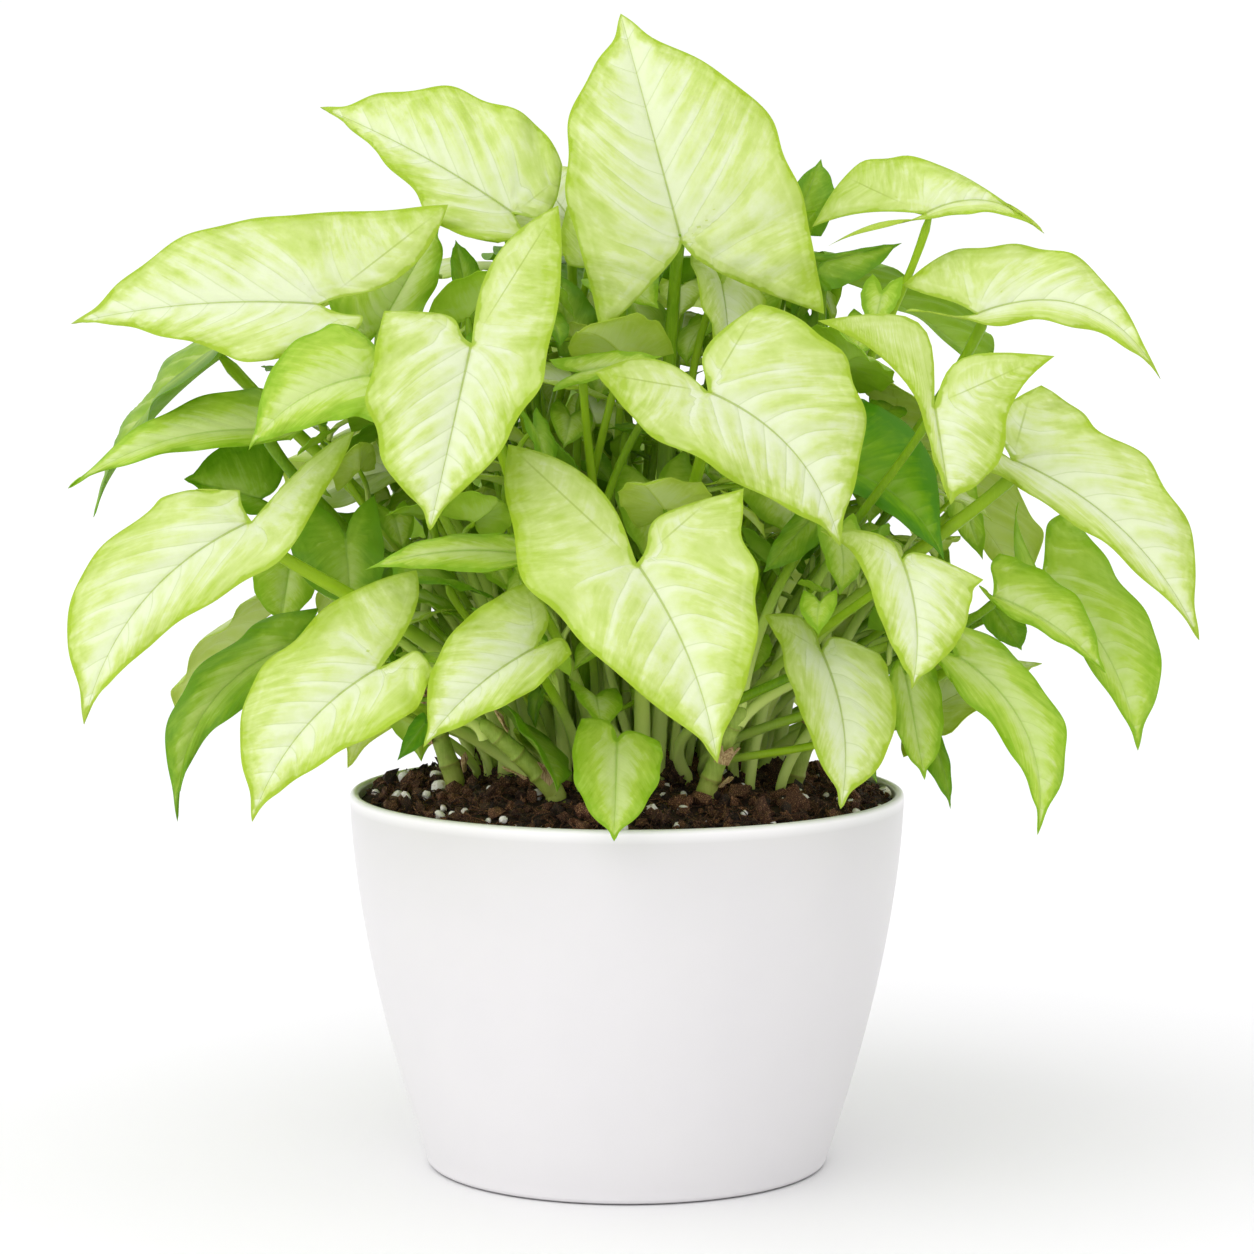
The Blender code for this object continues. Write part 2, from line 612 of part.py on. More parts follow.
def test_shape(sheets, tubes):
    """A search tree of blades and stalks made thicker by the clear room that they keep."""
    points = []
    faces = []
    for sheet_points, sheet_faces, normal in sheets:
        for lift in (CLEARANCE, -CLEARANCE - BLADE_THICKNESS):
            first = len(points)
            points += [point + normal * lift for point in sheet_points]
            faces += [[first + i for i in face] for face in sheet_faces]
    for path, radii in tubes:
        first = len(points)
        for i, (place, radius) in enumerate(zip(path, radii)):
            ahead = path[min(i + 1, len(path) - 1)] - path[max(i - 1, 0)]
            side = ahead.orthogonal().normalized()
            other = ahead.cross(side).normalized()
            for corner in range(4):
                angle = math.tau * corner / 4.0
                way = side * math.cos(angle) + other * math.sin(angle)
                points.append(place + way * (radius + CLEARANCE) * 1.15)
        for i in range(len(path) - 1):
            for corner in range(4):
                a = first + 4 * i + corner
                b = first + 4 * i + (corner + 1) % 4
                faces.append([a, b, b + 4])
                faces.append([a, b + 4, a + 4])
    lows = [min(point[axis] for point in points) for axis in range(3)]
    highs = [max(point[axis] for point in points) for axis in range(3)]
    return BVHTree.FromPolygons(points, faces), lows, highs


def is_clear(shape, others):
    tree, lows, highs = shape
    for other_tree, other_lows, other_highs in others:
        if any(lows[axis] > other_highs[axis] or highs[axis] < other_lows[axis] for axis in range(3)):
            continue
        if tree.overlap(other_tree):
            return False
    return True


def foot_slots():
    """Places for stalk feet: a honeycomb over the middle of the soil."""
    slots = []
    rows = int(FOOT_CIRCLE / FOOT_SPACING) + 2
    for row in range(-rows, rows + 1):
        for column in range(-rows, rows + 1):
            across = (column + 0.5 * (row % 2)) * FOOT_SPACING
            back = row * FOOT_SPACING * math.sqrt(0.75)
            if math.hypot(across, back) < FOOT_CIRCLE:
                slots.append(Vector((across, back, 0.0)))
    return slots


def nearest_slots(slots, joint):
    """The free slots in the order in which a leaf with this joint would take them."""
    reach = Vector((joint.x, joint.y, 0.0))
    wanted = reach * 0.30
    if reach.length > 1e-6:
        wanted += reach.normalized() * 0.010
    return sorted(slots, key=lambda slot: (slot - wanted).length)


def stalk_from(slot, blade, sway):
    """A stalk from its foot in the soil, straight up out of its hole and then over to the blade."""
    ground = soil_height(slot.x, slot.y)
    foot = Vector((slot.x, slot.y, ground - HOLE_DEPTH + SOIL_GAP))
    start = Vector((slot.x, slot.y, ground + STALK_RISE))
    path = [foot] + stalk_path(start, blade, sway, STALK_STEPS)
    return path, [FOOT_RADIUS] + taper(len(path) - 1, FOOT_RADIUS, NECK_RADIUS)


def settle(name, choices, rows, slots, taken):
    """Takes the first choice of blade, then of foot and sway, that stays clear of what already stands."""
    for blade in choices:
        points, faces, _ = blade_sheet(blade, rows, LEAF_COLUMNS)
        sheet = test_shape([(points, faces, blade.normal)], [])
        if not is_clear(sheet, taken):
            continue
        for slot in nearest_slots(slots, blade.place(0.0, 0.0))[:MOST_SLOTS]:
            for sway in SWAYS:
                path, radii = stalk_from(slot, blade, sway)
                stalk = test_shape([], [(path, radii)])
                if is_clear(stalk, taken):
                    taken += [sheet, stalk]
                    slots.remove(slot)
                    return blade, slot, path, radii
    raise RuntimeError(name + " finds no clear place")


def back_choices(tier, number, draw):
    """Blades for one leaf of the hidden side: at the wanted place first, then turned and lifted a little."""
    label, count, distance, height, length, pitch, share = tier
    middle = 0.5 * HALF_TURN
    spread = HALF_TURN * share
    turn = middle + spread * ((number + 0.5) / count - 0.5) + draw.uniform(-0.05, 0.05)
    distance = distance * draw.uniform(0.92, 1.10)
    height = height + draw.uniform(-0.010, 0.010)
    length = length * draw.uniform(0.88, 1.10)
    pitch = math.radians(pitch + draw.uniform(-12.0, 12.0))
    roll = math.radians(draw.uniform(-22.0, 22.0))
    shape_seed = draw.random()
    choices = []
    for lift in LIFTS:
        for further in REACHES:
            for swing in SWINGS:
                angle = turn + swing
                outward = Vector((math.cos(angle), math.sin(angle), 0.0))
                joint = outward * (distance + further) + Vector((0.0, 0.0, height + lift))
                choices.append(free_blade(joint, outward, pitch, roll, length, random.Random(shape_seed)))
    return choices


# Assembly


def make_leaf(name, tone, blade, rows, path, radii, collection):
    leaf = make_blade(name, blade, rows, LEAF_COLUMNS, collection)
    stalk = make_tube(name + "_stalk", path, radii, collection)
    leaf = boolean(leaf, [stalk], "UNION")
    leaf.data.materials.clear()
    leaf.data.materials.append(plain_material(name + " green", TONES[tone], 0.45))
    return leaf


def cane_layout(foot, top, small_leaves):
    """Where a cane and its small leaves go: its foot, its own tube, the blades and their stalks."""
    foot = Vector((foot[0], foot[1], 0.0)) * MM
    top = Vector(top) * MM
    ground = soil_height(foot.x, foot.y)
    low = Vector((foot.x, foot.y, ground - HOLE_DEPTH + SOIL_GAP))
    start = Vector((foot.x, foot.y, ground + STALK_RISE))
    middle = start.lerp(top, 0.5) + Vector((0.0, 0.0, STALK_RISE))
    cane = ([low, start, middle, top], [CANE_RADIUS * share for share in CANE_TAPER])
    blades = [blade_of(leaf, 0.0) for leaf in small_leaves]
    branches = []
    for blade in blades:
        start = top - Vector((0.0, 0.0, SMALL_STALK_DROP))
        path = stalk_path(start, blade, 0.0, SMALL_STALK_STEPS)
        branches.append((path, taper(len(path), SMALL_STALK_RADIUS, NECK_RADIUS)))
    return foot, cane, blades, branches


def make_cane(name, cane, blades, branches, collection):
    trunk = make_tube(name, cane[0], cane[1], collection)
    parts = []
    for number, (blade, branch) in enumerate(zip(blades, branches)):
        label = f"{name}_blade_{number}"
        parts.append(make_blade(label, blade, SMALL_LEAF_ROWS, SMALL_LEAF_COLUMNS, collection))
        parts.append(make_tube(f"{name}_stalk_{number}", branch[0], branch[1], collection))
    trunk = boolean(trunk, parts, "UNION")
    trunk.data.materials.clear()
    trunk.data.materials.append(plain_material(name + " green", STALK_COLOUR, 0.5))
    return trunk


def build():
    clear_scene()
    plant = new_collection("potted arrowhead plant")
    make_pot(plant)
    slots = foot_slots()
    taken = []
    holes = []
    for name, foot, top, small_leaves in CANES:
        foot, cane, blades, branches = cane_layout(foot, top, small_leaves)
        sheets = []
        for blade in blades:
            points, faces, _ = blade_sheet(blade, SMALL_LEAF_ROWS, SMALL_LEAF_COLUMNS)
            sheets.append((points, faces, blade.normal))
        taken.append(test_shape(sheets, [cane] + branches))
        slots = [slot for slot in slots if (slot - foot).length > FOOT_SPACING]
        holes.append((foot, CANE_RADIUS))
        make_cane(name, cane, blades, branches, plant)
    for leaf in LEAVES:
        choices = [blade_of(leaf, shift) for shift in SHIFTS]
        blade, slot, path, radii = settle(leaf.name, choices, LEAF_ROWS, slots, taken)
        holes.append((slot, FOOT_RADIUS))
        make_leaf(leaf.name, leaf.tone, blade, LEAF_ROWS, path, radii, plant)
    draw = random.Random(BACK_SEED)
    for tier in BACK_TIERS:
        for number in range(tier[1]):
            name = f"leaf_back_{tier[0]}_{number + 1}"
            choices = back_choices(tier, number, draw)
            blade, slot, path, radii = settle(name, choices, BACK_LEAF_ROWS, slots, taken)
            holes.append((slot, FOOT_RADIUS))
            tone = draw.choice(("pale", "pale", "lime", "green"))
            make_leaf(name, tone, blade, BACK_LEAF_ROWS, path, radii, plant)
    make_soil(plant, holes)


build()
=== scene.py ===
"""Looks of the potted arrowhead plant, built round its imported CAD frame: fine blades, stalks, canes, pot and
soil. The leaf table, but for the paler tones of three leaves, and the rule that finds clear places for leaves
are those of the part's source."""

import math
import random
from collections import namedtuple

import bmesh
import bpy
import numpy as np
from mathutils import Matrix, Vector, noise
from mathutils.bvhtree import BVHTree


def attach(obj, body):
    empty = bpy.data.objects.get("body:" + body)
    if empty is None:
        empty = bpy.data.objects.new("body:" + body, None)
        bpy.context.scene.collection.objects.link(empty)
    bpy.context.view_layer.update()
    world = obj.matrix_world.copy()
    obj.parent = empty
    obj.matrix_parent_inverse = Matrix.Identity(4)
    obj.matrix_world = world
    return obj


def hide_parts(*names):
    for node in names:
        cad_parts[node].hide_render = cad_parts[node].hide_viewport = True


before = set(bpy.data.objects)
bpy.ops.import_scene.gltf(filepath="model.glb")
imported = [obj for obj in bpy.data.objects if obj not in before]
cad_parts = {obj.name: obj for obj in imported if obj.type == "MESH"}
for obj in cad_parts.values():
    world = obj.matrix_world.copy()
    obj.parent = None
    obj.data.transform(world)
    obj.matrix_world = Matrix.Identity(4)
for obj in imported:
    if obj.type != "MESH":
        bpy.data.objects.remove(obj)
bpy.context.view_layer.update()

MM = 0.001
BODY = "root"

# Pot and soil, as in the part's source
POT_HEIGHT = 0.1156
RIM_RADIUS = 0.0850
BASE_RADIUS = 0.0612
WALL = 0.0028
POT_FLOOR = 0.0045
FOOT_FILLET = 0.0025
FLARE = 1.65
SOIL_GAP = 0.0003
SOIL_EDGE_HEIGHT = 0.1122
SOIL_DOME = 0.0105
HOLE_DEPTH = 0.011

# Stalks, canes and blades, as in the part's source. Rows and columns are those of a half blade's grid.
FOOT_RADIUS = 0.0023
NECK_RADIUS = 0.0012
STALK_STEPS = 5
SMALL_STALK_STEPS = 4
SMALL_STALK_RADIUS = 0.0015
CANE_RADIUS = 0.0040
CANE_TAPER = (1.0, 1.0, 0.92, 0.78)
STALK_RISE = 0.0025
STALK_END = 0.0006
SMALL_STALK_DROP = 0.004
FOOT_SPACING = 0.0092
FOOT_CIRCLE = 0.064
BLADE_THICKNESS = 0.0008
SINUS_ROW = 0.36
LEAF_ROWS = (0.0, 0.12, 0.24, SINUS_ROW, 0.52, 0.70, 0.86, 1.0)
BACK_LEAF_ROWS = (0.0, 0.18, SINUS_ROW, 0.54, 0.76, 0.90, 1.0)
LEAF_COLUMNS = 2
SMALL_LEAF_ROWS = (0.0, 0.18, SINUS_ROW, 0.58, 0.80, 1.0)
SMALL_LEAF_COLUMNS = 1
EDGE_START = 0.12
ARCH = 0.055
TIP_CURL = 0.7
FOLD = 0.14
CROWN = 0.07
WAVE = 0.024
SCALLOP = 0.035
WAVES = 3.6
LOBE_BEND = 0.40
LOBE_SHOULDER = 0.60
TIP_PINCH = 0.35
CURL_START = 0.8
STALK_UPRIGHT = 0.50
STALK_LEAN = 0.10
NECK_REACH = 0.16
NECK_DROP = 0.14
FOOT_LEAN = 0.30
FOOT_STEP = 0.010

# The eye, and the picture plane in which the leaf table is laid out
EYE_DISTANCE = 1.252
EYE_HEIGHT = 0.2924
EYE_PITCH = math.radians(5.78)
PICTURE_DISTANCE = 1.270
PICTURE_MIDDLE = 0.1653
PICTURE_PIXELS = 1254
FOCAL_PIXELS = 4110
SENSOR_WIDTH = 36.0
EYE = Vector((0.0, -EYE_DISTANCE, EYE_HEIGHT))
AHEAD = Vector((0.0, math.cos(EYE_PITCH), -math.sin(EYE_PITCH)))
UPWARD = Vector((0.0, math.sin(EYE_PITCH), math.cos(EYE_PITCH)))

# Clear room round the leaves and what is tried to keep it, as in the part's source
CLEARANCE = 0.0006
SHIFTS = (0.0, -0.005, 0.005, -0.010, 0.010, -0.016, 0.016, -0.022, 0.022, -0.030, 0.030)
SWAYS = (0.0, 0.012, -0.012, 0.024, -0.024)
MOST_SLOTS = 8
LIFTS = (0.0, 0.009, -0.009, 0.018, -0.018, 0.027)
REACHES = (0.0, 0.008, -0.008, 0.016)
SWINGS = (0.0, 0.12, -0.12, 0.24, -0.24, 0.36, -0.36)
PLAIN_NOTCH = (0.20, 0.0)

# What chance may change in a blade that isn't in the leaf table
FREE_WIDTH = (0.44, 0.52)
FREE_EDGE = 0.10
FREE_LOBE_WIDTH = (0.70, 0.95)
FREE_LOBE_LENGTH = (0.30, 0.48)
FREE_BOW = (-0.06, 0.06)
FREE_FULLNESS = (1.6, 2.4)

Leaf = namedtuple(
    "Leaf", "name tone at slope tip edge_a lobe_a edge_b lobe_b fullness sweep notch", defaults=(PLAIN_NOTCH,)
)
Blade = namedtuple("Blade", "place normal lift tip sides fullness sweep notch seed")

# Leaves of the best side, in millimetres against the upright plane through the pot's middle
LEAVES = (
    Leaf("leaf_top", "pale", (17, 284, -20), (0.08, 0.38), (-19, 71),
         (-34, 8), (-25, -28), (38, 9), (44, -22), (1.9, 3.2), 0, (-0.06, 0.0)),
    Leaf("leaf_front", "pale", (3, 185, -108), (0.08, 0.72), (25, -62),
         (-34, -6), (-40, 37), (36, -1), (33, 23), (1.5, 1.2), 4, (0.2, 0.25)),
    Leaf("leaf_centre_left", "pale", (-48, 253, -76), (-0.20, 0.66), (-13, -58),
         (-31, -8), (-27, 10), (24, -3), (27, 43), (1.8, 1.8), 0, (0.2, 0.4)),
    Leaf("leaf_centre_right", "pale", (25, 238, -72), (0.28, 0.66), (41, -48),
         (-20, -12), (-35, 6), (37, 15), (16, 27), (1.8, 1.5), 8),
    Leaf("leaf_low_left", "pale", (-116, 198, -60), (-0.50, 0.70), (-52, -63),
         (-29, 5), (-11, 9), (6, -15), (32, 28), (3.2, 1.3), -10),
    Leaf("leaf_foot_left", "pale", (-76, 153, -92), (-0.42, 0.75), (-40, -48),
         (-26, 9), (11, 30), (8, -16), (16, -1), (2.4, 1.2), -6),
    Leaf("leaf_inner_left", "pale", (-28, 159, -94), (-0.20, 0.72), (-35, -31),
         (-20, 10), (-3, 20), (-2, -14), (11, -2), (1.7, 1.5), -3),
    Leaf("leaf_little_heart", "lime", (-3, 131, -84), (0.00, 0.55), (-1, -32),
         (-14, -6), (-11, 6), (14, -6), (13, -1), (1.9, 1.9), 0),
    Leaf("leaf_foot_right", "pale", (60, 158, -72), (0.25, 0.70), (6, -49),
         (-11, -6), (-18, 11), (22, -12), (18, -1), (2.2, 1.6), 4),
    Leaf("leaf_mid_right", "pale", (85, 186, -80), (0.30, 0.72), (3, -40),
         (-10, -9), (-25, 9), (21, -14), (25, -6), (1.8, 1.2), 3),
    Leaf("leaf_far_right", "pale", (119, 217, -35), (0.50, 0.75), (58, -56),
         (26, 10), (9, 23), (5, -11), (-11, -3), (2.4, 2.4), 8),
    Leaf("leaf_bow_right", "pale", (95, 234, -62), (0.32, 0.60), (5, -31),
         (-3, -5), (-36, 26), (22, -8), (37, 15), (1.8, 1.8), 0),
    Leaf("leaf_dark_right", "dark", (67, 214, -46), (0.25, 0.60), (31, -28),
         (11, 19), (3, 22), (2, -7), (-5, -4), (3.0, 3.0), 5),
    Leaf("leaf_hang_right", "lime", (101, 157, -50), (0.45, 0.75), (26, -56),
         (20, -3), (4, 8), (1, -12), (-5, -3), (2.8, 2.0), 10),
    Leaf("leaf_olive_right", "lime", (113, 175, -42), (0.40, 0.70), (35, -24),
         (12, 9), (2, 13), (4, -6), (-2, 2), (2.6, 2.2), 3),
    Leaf("leaf_green_right", "lime", (128, 181, -15), (0.55, 0.60), (30, -54),
         (-4, -5), (-7, 23), (23, 0), (8, 20), (2.0, 2.8), 6),
    Leaf("leaf_high_left", "pale", (-35, 293, 2), (-0.20, 0.95), (-60, 33),
         (3, 30), (15, 15), (-26, -2), (-5, -9), (1.9, 0.8), -2),
    Leaf("leaf_wing_left", "pale", (-95, 265, -40), (-0.35, 0.90), (-77, -6),
         (-11, 27), (40, 31), (-24, -18), (11, -9), (1.9, 0.9), -3),
    Leaf("leaf_small_left", "lime", (-79, 243, -62), (-0.35, 0.65), (-38, -23),
         (-14, 15), (-4, 14), (-11, -14), (2, -15), (2.0, 2.0), -5),
    Leaf("leaf_blade_left", "lime", (-109, 226, -12), (-0.20, 1.10), (-64, -18),
         (-6, 13), (3, 9), (-8, -5), (5, -3), (1.8, 1.8), -6),
    Leaf("leaf_droop_left", "green", (-101, 161, -36), (-0.45, 0.60), (-38, -56),
         (-18, 1), (3, 9), (-8, -15), (8, -8), (3.0, 1.6), -12),
    Leaf("leaf_short_left", "lime", (-32, 188, -84), (-0.15, 0.90), (-49, -5),
         (-12, 6), (2, 5), (-14, -6), (2, -3), (1.7, 1.7), -3),
    Leaf("leaf_high_right", "pale", (92, 293, 4), (0.15, 1.20), (37, -6),
         (-15, 17), (-35, -4), (4, -2), (-30, -10), (1.9, 2.0), 7),
    Leaf("leaf_arch_right", "pale", (108, 262, -6), (0.20, 1.05), (57, -20),
         (6, 20), (-23, 9), (4, -4), (-22, 1), (2.6, 2.0), 13),
    Leaf("leaf_back_olive", "lime", (-78, 255, 18), (-0.15, 0.20), (20, 35),
         (-14, 14), (-9, 2), (14, 6), (8, -3), (2.4, 2.4), 0),
    Leaf("leaf_back_left", "green", (-113, 205, 14), (-0.10, 0.80), (-24, 6),
         (0, 19), (8, 12), (-3, -5), (3, -5), (2.0, 2.0), 0),
    Leaf("leaf_shade_left", "green", (-87, 193, -18), (-0.15, 0.60), (2, -23),
         (-17, -3), (-14, 12), (12, -4), (9, 13), (2.5, 2.5), 0),
    Leaf("leaf_fold_centre", "lime", (-15, 244, -48), (0.00, 0.80), (26, 5),
         (5, 6), (-9, 4), (3, -3), (-8, -6), (1.8, 1.8), 0),
    Leaf("leaf_small_right", "lime", (86, 151, -44), (0.25, 0.60), (6, -33),
         (-5, -8), (-4, 2), (11, -6), (9, 3), (2.2, 2.2), 0),
    Leaf("leaf_tail_right", "green", (90, 138, -26), (0.25, 0.60), (10, -29),
         (-4, -6), (-3, 1), (6, -4), (4, 2), (1.6, 1.6), 2),
)

# Canes: foot (right, back), top (right, back, up) and the small leaves that grow from the top
CANES = (
    ("cane_front_left", (-21, -49), (-42, -55, 142), (
        Leaf("", "dark", (-62, 136, -60), (0.0, 0.3), (-9, -12),
             (-4, 1), (-1, 3), (2, -4), (3, -1), (1.8, 1.8), 0),
        Leaf("", "lime", (-104, 185, -4), (0.0, 0.2), (-3, -19),
             (-12, -3), (-6, 2), (9, -5), (6, 1), (2.0, 2.0), 0),
    )),
    ("cane_front_right", (23, -50), (33, -54, 146), (
        Leaf("", "green", (58, 200, -48), (0.0, 0.3), (-16, -18),
             (-8, -2), (-3, 5), (2, -8), (4, -3), (2.0, 2.0), 0),
        Leaf("", "green", (113, 172, -24), (0.1, 0.3), (9, -14),
             (9, -2), (3, 3), (-3, -6), (-4, -2), (2.0, 2.0), 0),
    )),
    ("cane_left", (-52, -20), (-62, -22, 148), (
        Leaf("", "green", (-49, 266, 14), (0.0, 0.2), (-4, 19),
             (-5, 6), (-3, -2), (5, 6), (3, -2), (2.0, 2.0), 0),
    )),
    ("cane_right", (50, -22), (60, -24, 150), (
        Leaf("", "lime", (103, 206, 6), (0.0, 0.2), (7, -20),
             (-5, -3), (-4, 3), (6, -3), (5, 3), (2.0, 2.0), 0),
        Leaf("", "green", (60, 278, 8), (0.1, 0.4), (25, 6),
             (6, 3), (-2, 3), (5, -8), (1, -9), (1.8, 1.8), 0),
    )),
    ("cane_back_left", (-30, 38), (-36, 46, 150), (
        Leaf("", "pale", (-11, 278, 4), (0.0, 0.2), (-5, 22),
             (-9, 3), (-7, -1), (9, 3), (6, -2), (2.0, 2.0), 0),
        Leaf("", "green", (-17, 252, 10), (0.0, 0.2), (-5, 24),
             (-7, 9), (-4, -3), (9, 6), (6, -2), (2.0, 2.0), 0),
    )),
    ("cane_back_right", (28, 40), (34, 48, 152), (
        Leaf("", "green", (52, 289, 28), (0.0, 0.2), (8, 21),
             (-5, 6), (-4, -2), (12, 5), (8, -3), (1.6, 1.6), 0),
        Leaf("", "lime", (36, 266, 14), (0.0, 0.2), (-6, 14),
             (-9, 5), (-8, -2), (12, 3), (9, -3), (2.0, 2.0), 0),
    )),
)

# Tiers of the hidden side: name, leaves, distance from the axis, height, length, pitch in degrees, and how
# much of the half turn behind the tier takes up
BACK_TIERS = (
    ("low", 7, 0.094, 0.174, 0.062, -50.0, 0.70),
    ("middle", 7, 0.100, 0.220, 0.072, -40.0, 0.78),
    ("high", 5, 0.074, 0.264, 0.070, -20.0, 0.76),
    ("crown", 2, 0.034, 0.292, 0.058, 14.0, 0.50),
)
BACK_SEED = 12
BACK_TURN = (-0.05, 0.05)
BACK_DISTANCE = (0.92, 1.10)
BACK_HEIGHT = (-0.010, 0.010)
BACK_LENGTH = (0.88, 1.10)
BACK_PITCH = (-12.0, 12.0)
BACK_ROLL = (-22.0, 22.0)
BACK_TONES = ("pale", "pale", "lime", "green")


# Where leaves stand, as in the part's source


def straight_up(height):
    return Vector((0.0, 0.0, height))


def heading(angle):
    return Vector((math.cos(angle), math.sin(angle), 0.0))


def leftward(flat):
    """A flat direction turned a quarter turn to the left."""
    return Vector((-flat.y, flat.x))


def pot_radius(height):
    share = min(max(height / POT_HEIGHT, 0.0), 1.0)
    return BASE_RADIUS + (RIM_RADIUS - BASE_RADIUS) * (1.0 - (1.0 - share) ** FLARE)


def soil_height(across, back):
    share = min(math.hypot(across, back) / (RIM_RADIUS - WALL), 1.0)
    return SOIL_EDGE_HEIGHT + SOIL_DOME * (1.0 - share**2.2)


def seen(right, up, back):
    """The point this far behind the middle plane that the eye sees over (right, up) in its picture."""
    ray = AHEAD * PICTURE_DISTANCE + Vector((right, 0.0, 0.0)) + UPWARD * (up - PICTURE_MIDDLE)
    return EYE + ray * ((EYE_DISTANCE + back) / ray.y)


def blade_of(leaf, shift):
    """A blade of the best side, moved along the line of sight by shift."""
    slope = leaf.slope
    at = [value * MM for value in leaf.at]

    def place(right, up):
        back = at[2] + shift + slope[0] * right + slope[1] * up
        return seen(at[0] + right, at[1] + up, back)

    scaled = [Vector(pair) * MM for pair in (leaf.tip, leaf.edge_a, leaf.lobe_a, leaf.edge_b, leaf.lobe_b)]
    tip, edge_a, lobe_a, edge_b, lobe_b = scaled
    across = Vector((slope[0], -1.0, slope[1]))
    towards_eye = (EYE - place(0.0, 0.0)).normalized()
    lift = towards_eye * across.length
    sides = ((edge_a, lobe_a), (edge_b, lobe_b))
    sweep = leaf.sweep * MM
    seed = leaf.at[0] + leaf.at[1]
    return Blade(place, across.normalized(), lift, tip, sides, leaf.fullness, sweep, leaf.notch, seed)


def free_blade(joint, outward, pitch, roll, length, draw):
    """A blade at any place: it points outward at this pitch, with its upper face up and out."""
    along = (outward * math.cos(pitch) + straight_up(math.sin(pitch))).normalized()
    side = along.cross(straight_up(1.0)).normalized()
    face = side.cross(along).normalized()
    side = (side * math.cos(roll) + face * math.sin(roll)).normalized()
    face = side.cross(along).normalized()

    def place(right, up):
        return joint + side * right + along * up

    sides = []
    for sign in (-1.0, 1.0):
        wide = draw.uniform(*FREE_WIDTH) * length
        edge = Vector((sign * wide, FREE_EDGE * length))
        lobe_wide = sign * wide * draw.uniform(*FREE_LOBE_WIDTH)
        lobe_long = draw.uniform(*FREE_LOBE_LENGTH) * length
        sides.append((edge, Vector((lobe_wide, -lobe_long))))
    bow = draw.uniform(*FREE_BOW) * length
    fullness = [draw.uniform(*FREE_FULLNESS)] * 2
    tip = Vector((0.0, length))
    return Blade(place, face, face, tip, tuple(sides), fullness, bow, PLAIN_NOTCH, draw.random() * 50.0)


def bezier2(first, middle, last, share):
    rest = 1.0 - share
    return first * rest * rest + middle * (2.0 * rest * share) + last * share * share


def bezier3(first, second, third, last, share):
    rest = 1.0 - share
    near = first * rest**3 + second * (3.0 * rest * rest * share)
    return near + third * (3.0 * rest * share * share) + last * share**3


def midrib(blade, along):
    sideways = leftward(blade.tip).normalized()
    return blade.tip * along + sideways * (blade.sweep * 4.0 * along * (1.0 - along))


def half_border(blade, edge, lobe, row):
    """The inner and outer border points of one half at a row, from the lobe's end (0) to the tip (1)."""
    length = blade.tip.length
    forward = blade.tip.normalized()
    start = midrib(blade, EDGE_START)
    if row < SINUS_ROW:
        share = row / SINUS_ROW
        behind = max(-lobe.dot(forward), 0.0)
        aside = lobe + forward * behind
        inner_bend = forward * -(blade.notch[0] * length + LOBE_BEND * behind) - aside * blade.notch[1]
        inner = bezier2(lobe, inner_bend, Vector((0.0, 0.0)), share)
        outer_bend = edge + forward * ((lobe - edge).dot(forward) * LOBE_SHOULDER)
        outer = bezier2(lobe, outer_bend, edge, share)
    else:
        share = (row - SINUS_ROW) / (1.0 - SINUS_ROW)
        inner = midrib(blade, share)
        fullness = blade.fullness[0 if edge == blade.sides[0][0] else 1]
        width = (1.0 - share**fullness) * (1.0 - TIP_PINCH * share**6)
        outer = midrib(blade, EDGE_START + (1.0 - EDGE_START) * share) + (edge - start) * width
    ripple = math.sin(math.tau * WAVES * row + blade.seed)
    outer = outer + (outer - inner) * (SCALLOP * ripple * math.sin(math.pi * row))
    return inner, outer


def blade_height(blade, inner, outer, flat, row, across):
    """How high the blade stands above the leaf's plane at a flat point between its borders."""
    length = blade.tip.length
    forward = blade.tip.normalized()
    along = flat.dot(forward) / length
    aside = abs(flat.x * forward.y - flat.y * forward.x)
    if along > 0.0:
        height = ARCH * length * 4.0 * along * (1.0 - along)
    else:
        height = ARCH * length * 4.0 * along
    height -= TIP_CURL * length * max(along - CURL_START, 0.0) ** 2
    height += FOLD * aside
    height += CROWN * (outer - inner).length * math.sin(math.pi * across)
    ripple = math.sin(math.tau * WAVES * row + blade.seed * 1.7)
    return height + WAVE * length * ripple * across**2 * math.sin(math.pi * row) ** 0.5


def blade_point(blade, edge, lobe, row, across):
    inner, outer = half_border(blade, edge, lobe, row)
    flat = inner.lerp(outer, across)
    height = blade_height(blade, inner, outer, flat, row, across)
    return blade.place(flat.x, flat.y) + blade.lift * height


def joined_halves(blade, rows, columns, joint_row):
    """Joins the grids of a blade's two halves along the midrib. Gives each point as its side, row and column,
    the faces, and the numbers of the points of each half's grid."""
    spots = []
    faces = []
    grids = []
    shared = {}
    for side, (edge, _) in enumerate(blade.sides):
        left = blade.tip.x * edge.y - blade.tip.y * edge.x > 0.0
        grid = []
        for row in range(rows):
            grid.append([])
            for column in range(columns):
                key = (side, row, column)
                if row == rows - 1 or (column == 0 and row >= joint_row):
                    key = ("rib", row)
                elif row == 0:
                    key = (side, "lobe")
                if key not in shared:
                    shared[key] = len(spots)
                    spots.append((side, row, column))
                grid[row].append(shared[key])
        for low, high in zip(grid, grid[1:]):
            for column in range(columns - 1):
                corners = [low[column], high[column], high[column + 1], low[column + 1]]
                if not left:
                    corners.reverse()
                face = [corner for i, corner in enumerate(corners) if corner not in corners[:i]]
                if len(face) > 2:
                    faces.append(face)
        grids.append(grid)
    return spots, faces, grids


